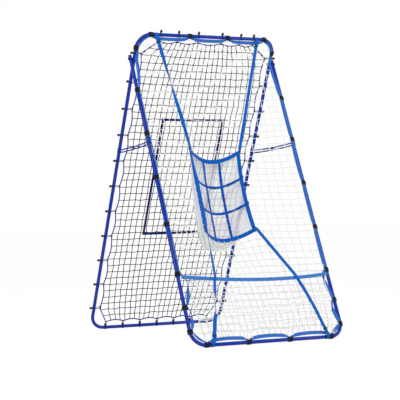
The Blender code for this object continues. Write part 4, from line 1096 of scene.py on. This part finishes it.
def top_tape():
    """Up one side of the arch, along the top tube and down the other side."""
    rise = [(side_tape_x(-1, d), -d, side_snug(-1, d)) for d in spread(-TOP_TAPE_END, -SIDE_TOP_WRAP, 9)]
    rise += [(*top_corner(share), 1 - bow(share, 0.5)) for share in spread(*TOP_CORNER_SPAN, 11)]
    route = [tape_row(-x, y, snug) for x, y, snug in rise]
    for x in spread(TOP_WRAPS[0], TOP_WRAPS[-1], TOP_TAPE_STEPS):
        route.append(tape_row(x, top_tape_up(x), near_wrap(x, TOP_WRAPS)))
    route += [tape_row(*row) for row in reversed(rise)]
    border_tape("top", BACK, "back_frame", 1, route)


def wrap_pattern():
    """One black wrap round a tube and the tape beside it, its free end lapped over."""
    shape = Shape()
    outline = round_two(WRAP_SEAT + WRAP_THICKNESS / 2, WRAP_REACH, WRAP_REACH, WRAP_ROUND)
    shape.loop(Matrix.Identity(4), outline, flat_section(WRAP_LENGTH, WRAP_THICKNESS))
    lap = arc(WRAP_SEAT + WRAP_THICKNESS * 1.6, *WRAP_LAP, 9)
    points = [Vector((x, y, 0)) for x, y in lap]
    shape.ribbon(points, [UP] * len(points), WRAP_LENGTH * 0.94, WRAP_THICKNESS)
    return shape


def wraps():
    pattern = wrap_pattern()
    for side, word in SIDES:
        places = []
        for down in SIDE_WRAPS[side]:
            turn, x = elbow_turn(down), side * (FRONT_X - bend(down))
            places.append(place_on(FRONT, x, -down, (-side * cos(turn), sin(turn))))
        copies("wraps_" + word, pattern, places, WRAP, "front_frame", "border_" + word)
    places = [place_on(FRONT, x, -LEG_LENGTH, (0, 1)) for x in BOTTOM_WRAPS]
    copies("wraps_bottom", pattern, places, WRAP, "front_frame", "border_bottom")
    places = [place_on(BACK, x, ARCH_RISE, (0, -1)) for x in TOP_WRAPS]
    places += [place_on(BACK, side * BACK_X, SIDE_TOP_WRAP, (-side, 0)) for side, _ in SIDES]
    copies("wraps_top", pattern, places, WRAP, "back_frame", "border_top")


# Nets
def blank_lattice(rows, columns, size):
    """Room for a net's knots, and which of them are held: those on its edges."""
    held = np.ones((rows + 1, columns + 1), bool)
    held[1:-1, 1:-1] = False
    return np.zeros((*held.shape, size)), held


def settled(grid, held, rounds):
    """Let each free knot settle midway between its four neighbours."""
    for _ in range(rounds):
        middle = grid.copy()
        middle[1:-1, 1:-1] = (grid[:-2, 1:-1] + grid[2:, 1:-1] + grid[1:-1, :-2] + grid[1:-1, 2:]) / 4
        grid = np.where(held[..., None], grid, middle)
    return grid


def stirred(seed, amount, held):
    """Small uneven shifts of the free knots."""
    shifts = np.random.default_rng(seed).normal(0, amount, (*held.shape, 3))
    shifts[held] = 0
    return shifts


def front_lattice():
    """Knots of the front net as rows of points, from the top tape to the bottom tape."""
    rows = ROWS_ABOVE + ROWS_BESIDE + ROWS_BELOW
    under = TAPE_WIDTH / 2 - TAPE_TUCK
    top, low = tape_height(TAPE_INSET + under - ARCH_RISE), tape_height(LEG_LENGTH - TAPE_INSET - under)
    grid, held = blank_lattice(rows, 2 * CELL_COLUMNS, 3)
    for j, row in enumerate(grid):
        z = top + (low - top) * j / rows
        edges = {side: side_edge(side, tape_down(z)) for side, _ in SIDES}
        for i in range(len(row)):
            share = i / CELL_COLUMNS - 1
            row[i] = (edges[-1 if share < 0 else 1][0] * share, 0, z)
        for column, side in ((0, -1), (-1, 1)):
            row[column, 1] = (TAPE_LIFT - edges[side][1]) / cos(HALF_ANGLE)
    for knot in grid[0]:
        knot[2] = tape_height(under - top_tape_up(knot[0]))
    for knot in grid[-1]:
        knot[2] = tape_height(bottom_tape_down(knot[0]) - under)
    held[FIRST_ROW:LAST_ROW + 1, LEFT_COLUMN:RIGHT_COLUMN + 1] = True
    for j in range(FIRST_ROW, LAST_ROW + 1):
        for i in range(LEFT_COLUMN, RIGHT_COLUMN + 1):
            across, down = (i - CELL_COLUMNS) / POCKET_COLUMNS, (j - FIRST_ROW) / ROWS_BESIDE
            if 0 < down < 1 and abs(across) < 1:
                continue
            x, y, z = pocket_point(across * (1 - TUCK_ACROSS), TUCK_DOWN + down * (1 - 2 * TUCK_DOWN))
            grid[j, i] = (x, y - net_y(x, z), z)
    grid = settled(grid, held, WHITE_ROUNDS) + stirred(WHITE_SEED, WHITE_STIR, held)
    return [[Vector((x, net_y(x, z) + behind + WHITE_BEHIND, z)) for x, behind, z in row] for row in grid]


def lattice_chains(points, rows, missing=lambda *_: False):
    """Cords down each column and along each row, broken where the net is left out."""
    columns = range(len(points[0]))
    chains = []
    for i in columns:
        chain = []
        for j in rows:
            chain.append((points[j][i], True))
            if j == rows[-1] or missing(j, i, j + 1, i):
                chains.append(chain)
                chain = []
    for j in rows:
        chain = []
        for i in columns:
            chain.append((points[j][i], False))
            if i == columns[-1] or missing(j, i, j, i + 1):
                chains.append(chain)
                chain = []
            else:
                middle = points[j][i].lerp(points[j][i + 1], 0.5)
                chain.append((middle - Vector((0, 0, CORD_SAG)), False))
    return [chain for chain in chains if len(chain) > 1]


def front_nets():
    points = front_lattice()
    rows = range(len(points))

    def in_pocket(j0, i0, j1, i1):
        return FIRST_ROW < (j0 + j1) / 2 < LAST_ROW and LEFT_COLUMN < (i0 + i1) / 2 < RIGHT_COLUMN

    split = min(rows, key=lambda j: abs(points[j][CELL_COLUMNS].z - CROSSING_Z))
    upper = lattice_chains(points, rows[:split + 1], in_pocket)
    lower = lattice_chains(points, rows[split:], in_pocket)
    bent(net("white_net_upper", upper, "white_net", None, "front_net_top"))
    nodes = ["front_net_" + word for word in ("left", "right", "high", "low")]
    pressed(net("white_net_lower", lower, "white_net", "front_frame", *nodes))


def trough():
    """The slack hem and the net that hangs from it to the bottom tape."""
    points = [hem_centre(x) for x in spread(-TROUGH_END, TROUGH_END, HEM_STEPS)]
    shape = Shape()
    shape.ribbon(points, carried(points, FRONT.to_3x3() @ Vector((0, 1, 0))), TAPE_WIDTH, HEM_THICKNESS)
    piece("trough_hem_tape", shape, HEM, "trough_hem", "front_frame", "trough_hem")
    rng = np.random.default_rng(TROUGH_SEED)
    rows = []
    for j in range(TROUGH_ROWS + 1):
        v = j / TROUGH_ROWS
        down = HEM_DOWN + (LEG_LENGTH - TAPE_INSET - HEM_DOWN) * v
        edge = 1 - sin(pi * v) ** 0.5 if 0 < v < 1 else 1.0
        reach = TROUGH_NET_END * (1 - TROUGH_PINCH * sin(pi * v) - TROUGH_CORNER * v ** 3)
        row = []
        for i in range(2 * CELL_COLUMNS + 1):
            share = i / CELL_COLUMNS - 1
            beside = side_edge(-1 if share < 0 else 1, min(down, SIDE_WRAPS[1][-1]))[0] - TROUGH_CLEAR
            x = share * (min(reach, beside) if j else reach)
            top = hem_centre(x).z - HEM_RISE + TAPE_TUCK
            lowest = tape_height(bottom_tape_down(x) - TAPE_WIDTH / 2 + TAPE_TUCK)
            z = top + (lowest - top) * v
            y = frame_y(z) - trough_out(x, v) + (TROUGH_SEAT + TROUGH_TUCK) * edge
            slack = rng.normal(0, WHITE_STIR, 3) * (0 < j < TROUGH_ROWS)
            row.append(Vector((x, y, z)) + Vector(slack))
        rows.append(row)
    chains = lattice_chains(rows, range(len(rows)))
    net("white_net_trough", chains, "white_net", "front_frame", "trough_net")


def rope_in(value, bungees):
    """How far the edge rope lies in from its tube: it bows inwards between two bungees."""
    _, share = span_share(value, bungees)
    return ROPE_INSET + bow(share, ROPE_BOW)


def rope_x(down):
    """The side rope from the middle, at a distance down the back leg."""
    return BACK_X - rope_in(down, [-UPPER_BUNGEE] + SIDE_BUNGEES)


def rope_top(x):
    return ARCH_RISE - rope_in(x, TOP_BUNGEES)


def rope_bottom(x):
    return rope_in(x, BOTTOM_BUNGEES) - LEG_LENGTH


def edge_rope():
    """The whole rope as a closed loop on the back frame's plane."""
    left = [(-rope_x(d), -d) for d in spread(-UPPER_BUNGEE, SIDE_BUNGEES[-1], SIDE_ROPE_STEPS)]
    across = spread(BOTTOM_BUNGEES[0], BOTTOM_BUNGEES[-1], BOTTOM_ROPE_STEPS)
    low = [(x, rope_bottom(x)) for x in across]
    right = [(-x, y) for x, y in reversed(left)]
    high = [(x, rope_top(x)) for x in spread(TOP_BUNGEES[-1], TOP_BUNGEES[0], TOP_ROPE_STEPS)]
    points = [BACK @ Vector((x, y, 0)) for x, y in left + low + right + high]
    shape = Shape()
    shape.sweep(points, [out_of(BACK)] * len(points), round_section(ROPE_RADIUS, 12), closed=True)
    piece("edge_rope", shape, ROPE, "edge_rope", "back_frame", *ROPE_NODES)


def back_net():
    """Square mesh inside the rope, its corners cut as the rope cuts them."""
    side_x, lowest = BACK_X - ROPE_INSET, SIDE_BUNGEES[-1]
    top, low = ARCH_RISE - ROPE_INSET, ROPE_INSET - LEG_LENGTH
    high_slope = (side_x - TOP_BUNGEES[-1]) / (top - UPPER_BUNGEE)
    low_slope = (side_x - BOTTOM_BUNGEES[-1]) / (-low - lowest)
    grid, held = blank_lattice(BACK_ROWS, BACK_COLUMNS, 2)
    for j, row in enumerate(grid):
        y = top + (low - top) * j / BACK_ROWS
        edge = rope_x(min(lowest, max(-UPPER_BUNGEE, -y)))
        if y > UPPER_BUNGEE:
            edge = side_x - (y - UPPER_BUNGEE) * high_slope
        if -y > lowest:
            edge = side_x - (-y - lowest) * low_slope
        for i in range(len(row)):
            x = edge * (2 * i / BACK_COLUMNS - 1)
            row[i] = (x, rope_top(x) if j == 0 else rope_bottom(x) if j == BACK_ROWS else y)
    rows = []
    even, stirs = settled(grid, held, BLACK_ROUNDS), stirred(BLACK_SEED, BLACK_STIR, held)
    for row, shifts in zip(even, stirs):
        rows.append([BACK @ (Vector((x, y, 0)) + Vector(shift)) for (x, y), shift in zip(row, shifts)])
    net("black_net", lattice_chains(rows, range(len(rows))), "black_net", "back_frame", "back_net")


def bungee_places():
    """Each bungee's place, its turn round the tube and whether its ball hangs inside the frame."""
    places = []
    for side, _ in SIDES:
        for down in [-UPPER_BUNGEE] + SIDE_BUNGEES:
            turn = FIRST_TURN if down == SIDE_BUNGEES[0] else 0.0
            places.append((place_on(BACK, side * BACK_X, -down, (-side, 0)), turn, False))
    places += [(place_on(BACK, x, ARCH_RISE, (0, -1)), 0.0, False) for x in TOP_BUNGEES]
    places += [(place_on(BACK, x, -LEG_LENGTH, (0, 1)), 0.0, True) for x in BOTTOM_BUNGEES]
    return places


def bungees():
    """Elastic loops round tube and rope, and the ball that each is pulled over."""
    elastic, ball = Shape(), Shape()
    outline = round_two(TUBE_R + ELASTIC_GAP + ELASTIC_RADIUS, ROPE_INSET, 0, ROPE_RADIUS + ELASTIC_RADIUS)
    elastic.loop(Matrix.Identity(4), outline, round_section(ELASTIC_RADIUS, 8), flat=False)
    profile = [(BALL_RADIUS * sin(a), -BALL_RADIUS * cos(a)) for a in spread(*BALL_ARC, 9)]
    ball.turned(profile + [(radius, BALL_RADIUS * height) for radius, height in BALL_NECK], 14)
    places = bungee_places()
    balls = []
    for place, turn, inside in places:
        reach = ROPE_INSET / 2 if inside else -BALL_OUT
        centre = Matrix.Translation((reach * cos(turn), reach * sin(turn), 0))
        out = Matrix.Rotation(pi * 0.8 if inside else -pi / 2, 4, "Y")
        balls.append(place @ centre @ Matrix.Rotation(turn, 4, "Z") @ out)
    tubes = [place for place, _, _ in places]
    copies("bungee_elastics", elastic, tubes, ELASTIC, "back_frame", *ROPE_NODES)
    copies("bungee_balls", ball, balls, PLASTIC, "back_frame", *ROPE_NODES)


def strike_zone():
    """Flat tape sewn on the back net in a rectangle."""
    half = ZONE_TAPE / 2
    lines = []
    for x in (half - ZONE_HALF, ZONE_HALF - half):
        lines.append([(x, -d, ZONE_LIFT) for d in spread(ZONE_TOP, ZONE_BOTTOM, ZONE_STEPS_DOWN)])
    for down in (ZONE_TOP + half, ZONE_BOTTOM - half):
        across = spread(-ZONE_HALF, ZONE_HALF, ZONE_STEPS_ACROSS)
        lines.append([(x, -down, ZONE_LIFT + ZONE_OVERLAP) for x in across])
    shape, out = Shape(), out_of(BACK)
    for line in lines:
        points = [BACK @ Vector(p) for p in line]
        shape.ribbon(points, [run.cross(out) for run in runs(points)], ZONE_TAPE, ZONE_THICKNESS)
    piece("strike_zone_lines", shape, ZONE, "zone_tape", "back_frame", "strike_zone_tape")


# Pocket
def web_lines(share):
    hole = (1 - (HOLES + 1) * share) / HOLES
    return [i * (hole + share) + share / 2 for i in range(HOLES + 1)]


def web_lift(upright, index, share):
    """How far a web stands in front of the pocket's own surface."""
    if index not in (0, HOLES):
        return WEAVE * cos(pi * (HOLES * share + (0 if upright else 1)))
    if not upright:
        return LEVEL_LIFT
    return 0.0 if index else EDGE_LIFT * table(EDGE_TURN, share)


def web_across(upright, across, down):
    """The way across a web, from the pocket's surface on both sides of a place."""
    a, d = (SURFACE_STEP, 0) if upright else (0, SURFACE_STEP)
    return (pocket_point(across + a, down + d) - pocket_point(across - a, down - d)).normalized()


def pocket():
    """Four upright and four level webs round and between the nine holes."""
    rng = np.random.default_rng(WEB_SEED)
    border, webs = Shape(), Shape()
    lines = [(True, i, 2 * line - 1) for i, line in enumerate(web_lines(ACROSS_SHARE))]
    lines += [(False, i, line) for i, line in enumerate(web_lines(DOWN_SHARE))]
    for upright, index, line in lines:
        edge = index in (0, HOLES)
        points, acrosses = [], []
        for share in spread(0.0, 1.0, WEB_STEPS[upright]):
            across, down = (line, share) if upright else (2 * share - 1, line)
            way = web_across(upright, across, down)
            if upright and index == 0:
                way = way.lerp(EDGE_FACE, table(EDGE_TURN, share)).normalized()
            points.append(pocket_point(across, down, web_lift(upright, index, share)))
            acrosses.append(way)
        ragged = [1 + float(v) for v in rng.normal(0, EDGE_RAGGED if edge else WEB_RAGGED, len(points))]
        shape, width = (border, BORDER_BAND) if edge else (webs, WEB_WIDTH)
        shape.ribbon(points, acrosses, width, WEB_THICKNESS, ragged)
    pressed(piece("pocket_border", border, POCKET, "pocket_webbing", "front_frame", "pocket_grid"))
    pressed(piece("pocket_webs", webs, POCKET_INNER, "pocket_webbing", "front_frame", "pocket_grid"))


def bag_point(across, down, folds):
    """A place on the bag: it stands back from the pocket, hangs low, billows out and lies in soft folds."""
    middle, level = 1 - (2 * across - 1) ** 4, 1 - (2 * down - 1) ** 4
    crease = sum(sin(2 * pi * (fx * across + fz * down) + turn) for fx, fz, turn in folds) / BAG_FOLDS
    out = BAG_BILLOW * (2 * across - 1) * (1 - (2 * across - 1) ** 8) * level
    back = BAG_SEAT + BAG_DEPTH * middle * level + BAG_CREASE * crease * middle * level
    drop = BAG_HANG * middle * down ** 2 * (1 - down) / MOST_HANG
    x = ACROSS_SHARE / 2 + (1 - ACROSS_SHARE) * across
    z = DOWN_SHARE / 2 + (1 - DOWN_SHARE) * down
    return pocket_point(2 * x - 1, z) + Vector((out, back, -drop))


def catch_bag():
    """Mesh bag behind the nine holes."""
    rng = np.random.default_rng(BAG_SEED)
    folds = [(rng.uniform(2, 7), rng.uniform(-4, 4), rng.uniform(0, 6.28)) for _ in range(BAG_FOLDS)]
    shares = [i / BAG_STEPS for i in range(BAG_STEPS + 1)]
    shape = Shape()
    u, v = [[cut * share for share in shares] for cut in BAG_CUT]
    shape.grid([[bag_point(across, down, folds) for across in shares] for down in shares], u, v)
    item = shown("catch_bag_open", shape.mesh("catch_bag_open", BAG))
    wall = item.modifiers.new("Cloth", "SOLIDIFY")
    wall.thickness = BAG_THICKNESS
    wall.offset = 0
    item = fitted(plain(item, "catch_bag_cloth"), "bag_mesh", "front_frame", *BAG_NODES)
    pressed(item)


# Straps
def strap_route(place, corner, over):
    """A corner strap's centre, taut from the loop on its tube, over the hem at one place, to the pocket."""
    start = place @ Vector((0, TAPE_LIFT + STRAP_LIFT, 0))
    shares, reaches = (0, 1), (start.x, corner.x)
    if over:
        shares = (0, (HEM_MIDDLE - start.z) / (corner.z - start.z), 1)
        reaches = (start.x, over, corner.x)
    points = []
    for share in spread(0.0, 1.0, STRAP_TRIALS):
        x = float(np.interp(share, shares, reaches))
        z = start.z + (corner.z - start.z) * share
        points.append(Vector((x, front_y(x, z) - STRAP_LIFT if share else start.y, z)))
    over_hem = [i for i, p in enumerate(points) if abs(p.z - hem_centre(p.x).z) < HEM_RISE]
    held = [0] + (over_hem[:1] + over_hem[-1:]) + [STRAP_TRIALS - 1]
    route = [p.copy() for p in points]
    for first, last in zip(held, held[1:]):
        for i in range(first, last + 1):
            taut = points[first].lerp(points[last], (i - first) / max(1, last - first))
            route[i].y = min(taut.y, points[i].y)
    return route[::4]


def buckle(axes, middle, half, tall, rod, bar, bar_radius):
    """A moulded ring with a bar across it, which a strap is threaded through."""
    place = Matrix(axes).transposed().to_4x4()
    place.translation = middle
    ring = rounded([(-half, -tall, 0), (half, -tall, 0), (half, tall, 0), (-half, tall, 0)])
    shape = Shape()
    for line, radius, closed in ((ring, rod, True), (bar, bar_radius, False)):
        points = [place @ Vector(p) for p in line]
        shape.sweep(points, [axes[2]] * len(points), round_section(radius, 10), closed=closed)
    return shape


def corner_strap(side, end, where):
    """One strap, with its loop on the tube and its hook."""
    top = end == "top"
    node, body = "corner_strap_" + where, "back_frame" if top else "front_frame"
    height = POCKET_TOP - BORDER_WIDTH / 2 if top else POCKET_BOTTOM + BORDER_WIDTH / 2
    corner = Vector((side * (POCKET_HALF - BORDER_WIDTH / 2), 0, height))
    if top:
        place, over = place_on(BACK, side * TOP_STRAP_REACH[side], ARCH_RISE, (0, -1)), None
    else:
        place = place_on(FRONT, side * BOTTOM_STRAP_REACH[side], -LEG_LENGTH, (0, 1))
        over = side * STRAP_OVER_HEM[side]
    points = strap_route(place, corner, over)
    across = (points[-1] - points[0]).normalized().cross(Vector((0, 1, 0))).normalized()
    turns = [radians(table(STRAP_TWISTS[end, side], share)) for share in spread(0.0, 1.0, len(points))]
    acrosses = twisted(points, carried(points, across), turns)

    def band(name, first, last, body):
        shape = Shape()
        shape.ribbon(points[first:last], acrosses[first:last], STRAP_WIDTH, STRAP_THICKNESS)
        return piece(name, shape, STRAP, "blue_webbing", body, node)

    ring = Shape()
    outline = round_two(STRAP_SEAT, 0, TAPE_LIFT + STRAP_LIFT, STRAP_FOLD)
    ring.loop(place, outline, flat_section(STRAP_WIDTH, STRAP_THICKNESS))
    piece("strap_loop_" + where, ring, STRAP, "blue_webbing", body, node)
    if top:
        split = next(i for i, p in enumerate(points) if p.z < CROSSING_Z)
        bent(band(where.replace("top", "strap_upper"), 0, split + 1, None))
        pressed(band(where.replace("top", "strap_lower"), split, len(points), "front_frame"))
    else:
        pressed(band("strap_" + where, 0, len(points), "front_frame"))
    spot = next(i for i, p in enumerate(points) if (p - points[0]).length > HOOK_DOWN)
    run = (points[spot + 1] - points[spot - 1]).normalized()
    axes = (acrosses[spot], run, run.cross(acrosses[spot]).normalized())
    bar = [(x, 0, HOOK_BAR_LIFT) for x in spread(-HOOK_HALF, HOOK_HALF, 5)]
    shape = buckle(axes, points[spot], HOOK_HALF, HOOK_TALL, HOOK_ROD, bar, HOOK_BAR)
    piece("strap_hook_" + where, shape, PLASTIC, "black_plastic", body, "strap_buckle_" + where)


def spread_strap(side, word):
    """A loop of flat cord from leg to leg: two runs, one above the other, through a slider."""
    start = FRONT @ Vector((side * FRONT_X, -SPREAD_STRAP_FRONT, -SPREAD_STRAP_OFF))
    end = BACK @ Vector((side * BACK_X, -SPREAD_STRAP_BACK, SPREAD_STRAP_OFF))
    node = "spread_strap_" + word
    span = Shape()
    for rise in (-1, 1):
        points = []
        for share in spread(0.0, 1.0, 40):
            point = start.lerp(end, share)
            ends = [0.6 + gone * SPREAD_STRAP_CLOSING for gone in (share, 1 - share)]
            near = min(1.0, abs(share - 0.5) * SPREAD_STRAP_CLOSING, *ends)
            point.z += rise * SPREAD_STRAP_APART * (0.5 + 0.5 * near) - bow(share, SPREAD_STRAP_SAG)
            points.append(point)
        span.ribbon(points, carried(points, UP), SPREAD_STRAP_WIDTH, SPREAD_STRAP_THICKNESS)
    item = piece("spread_cord_" + word, span, SPREAD, "blue_webbing", None, node)
    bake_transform(item)
    section = flat_section(SPREAD_STRAP_WIDTH, SPREAD_STRAP_THICKNESS)
    legs = (("front", FRONT, FRONT_X, SPREAD_STRAP_FRONT), ("back", BACK, BACK_X, SPREAD_STRAP_BACK))
    for name, panel, x, down in legs:
        band = Shape()
        for rise in (-1, 1):
            place = place_on(panel, side * x, -down + rise * SPREAD_STRAP_APART, (-side, 0))
            band.loop(place, round_section(SPREAD_STRAP_SEAT, 24), section)
        piece("spread_loop_%s_%s" % (name, word), band, SPREAD, "blue_webbing", name + "_frame", node)
    run = (end - start).normalized()
    bar = [(0, y, SLIDER_BAR_LIFT) for y in spread(-SLIDER_TALL, SLIDER_TALL, 6)]
    middle = start.lerp(end, 0.5) - Vector((0, 0, SPREAD_STRAP_SAG))
    axes = (run, UP, run.cross(UP).normalized())
    shape = buckle(axes, middle, SLIDER_HALF, SLIDER_TALL, SLIDER_ROD, bar, SLIDER_BAR)
    piece("three_bar_slider_" + word, shape, PLASTIC, "black_plastic", "strap_sliders", "slider_" + word)


# Stage, light and camera
def white_rays(tree):
    """1 for the rays that show the white background: straight, mirrored or let through."""
    path = new_node(tree, "ShaderNodeLightPath").outputs
    seen = path["Is Camera Ray"]
    for ray in ("Is Glossy Ray", "Is Transmission Ray"):
        seen = result(tree, "ShaderNodeMath", {0: seen, 1: path[ray]}, operation="MAXIMUM")
    return seen


def stage():
    data = bpy.data.meshes.new("floor")
    corners = [(x * FLOOR_HALF, y * FLOOR_HALF, 0) for x, y in ((-1, -1), (1, -1), (1, 1), (-1, 1))]
    data.from_pydata(corners, [], [(0, 1, 2, 3)])
    floor = shown("floor", data)
    look = Look("floor_white", (FLOOR_GREY,) * 3, 0.9)
    share = look.times(white_rays(look.tree), FLOOR_GLOW)
    glow = look.node("ShaderNodeEmission")
    lit = look.node("ShaderNodeMixShader", {0: share, 1: look.shader.outputs[0], 2: glow})
    look.tree.links.new(lit, look.tree.nodes["Material Output"].inputs["Surface"])
    data.materials.append(look.material)


def world():
    sky = bpy.data.worlds.new("studio")
    bpy.context.scene.world = sky
    sky.use_nodes = True
    tree = sky.node_tree
    soft = tree.nodes["Background"]
    soft.inputs[0].default_value = (1, 1, 1, 1)
    soft.inputs[1].default_value = SKY_STRENGTH
    white = result(tree, "ShaderNodeBackground", {0: (1, 1, 1, 1), 1: 1.0})
    both = result(tree, "ShaderNodeMixShader", {0: white_rays(tree), 1: soft.outputs[0], 2: white})
    tree.links.new(both, tree.nodes["World Output"].inputs[0])


def lamp(name, place, energy, size):
    data = bpy.data.lights.new(name, "AREA")
    data.energy = energy
    data.size = size
    item = shown(name, data)
    item.location = place
    item.rotation_euler = (LAMP_AIM - Vector(place)).to_track_quat("-Z", "Y").to_euler()


def camera():
    data = bpy.data.cameras.new("camera")
    data.sensor_width = 36
    data.lens = CAMERA_LENS
    data.clip_end = 200
    item = shown("camera", data)
    turn, rise = CAMERA_TURN, CAMERA_RISE
    back = Vector((sin(turn) * cos(rise), -cos(turn) * cos(rise), sin(rise)))
    right = UP.cross(back).normalized()
    up = back.cross(right)
    level, tilt = cos(CAMERA_ROLL), sin(CAMERA_ROLL)
    across, above = right * level + up * tilt, up * level - right * tilt
    matrix = Matrix((across, above, back)).transposed().to_4x4()
    matrix.translation = Vector(CAMERA_TARGET) + back * CAMERA_DISTANCE
    item.matrix_world = matrix
    bpy.context.scene.camera = item


camera()
stage()
world()
for settings in LAMPS:
    lamp(*settings)
bpy.context.scene.view_settings.view_transform = "Standard"

# Height at which the net's middle crosses the front tape's plane
CROSSING_Z = 1.5354
# Height of the hem about where the lower straps cross it
HEM_MIDDLE = hem_centre(0.27).z

POWDER = powder_coat()
BORDER = webbing("border_weave", srgb(46, 96, 174), TAPE_WIDTH, stitch=srgb(95, 140, 205))
HEM = webbing("hem_weave", srgb(54, 108, 178), TAPE_WIDTH, stitch=srgb(100, 150, 210))
STRAP = webbing("strap_weave", srgb(0, 86, 172), STRAP_WIDTH)
POCKET = webbing("pocket_weave", srgb(0, 82, 170), BORDER_BAND, stitch=srgb(40, 115, 210))
POCKET_INNER = webbing("pocket_web_weave", srgb(0, 72, 158), WEB_WIDTH)
SPREAD = webbing("spread_cord_weave", srgb(14, 54, 140), SPREAD_STRAP_WIDTH)
ZONE = webbing("zone_weave", srgb(4, 16, 88), ZONE_TAPE)
WRAP = hook_and_loop()
WHITE = net_cord("white_cord", srgb(222, 222, 219), srgb(248, 248, 246), 0.011, sheen=0.2)
BLACK = net_cord("black_cord", srgb(8, 7, 8), srgb(26, 24, 25), 0.008, sheen=0.04)
NET_KINDS = {"white_net": (WHITE_CORD, WHITE_KNOT, WHITE), "black_net": (BLACK_CORD, BLACK_KNOT, BLACK)}
ROPE = braided("rope_braid", srgb(16, 52, 150), srgb(52, 98, 195), ROPE_RADIUS, pitch=0.007)
ELASTIC = braided("elastic_braid", srgb(20, 20, 22), srgb(60, 60, 66), ELASTIC_RADIUS, pitch=0.004)
PLASTIC = moulded_plastic()
ZINC = zinc()
BAG = fine_mesh()
NET_TREE = net_tree()
COPIES_TREE = copies_tree()

frame_tubes()
for side, word in SIDES:
    side_tape(side, word)
    spread_strap(side, word)
bottom_tape()
top_tape()
wraps()
front_nets()
trough()
pocket()
catch_bag()
for end in ("top", "bottom"):
    for side, word in SIDES:
        corner_strap(side, end, "%s_%s" % (end, word))
edge_rope()
back_net()
bungees()
strike_zone()

fittings = {"hinge_bolt_": PLASTIC, "hinge_washer_": PLASTIC, "leg_plug_": PLASTIC, "hinge_nut_": ZINC}
for node, look in fittings.items():
    for _, word in SIDES:
        for place in frame["nodes"][node + word].material_slots:
            place.material = look
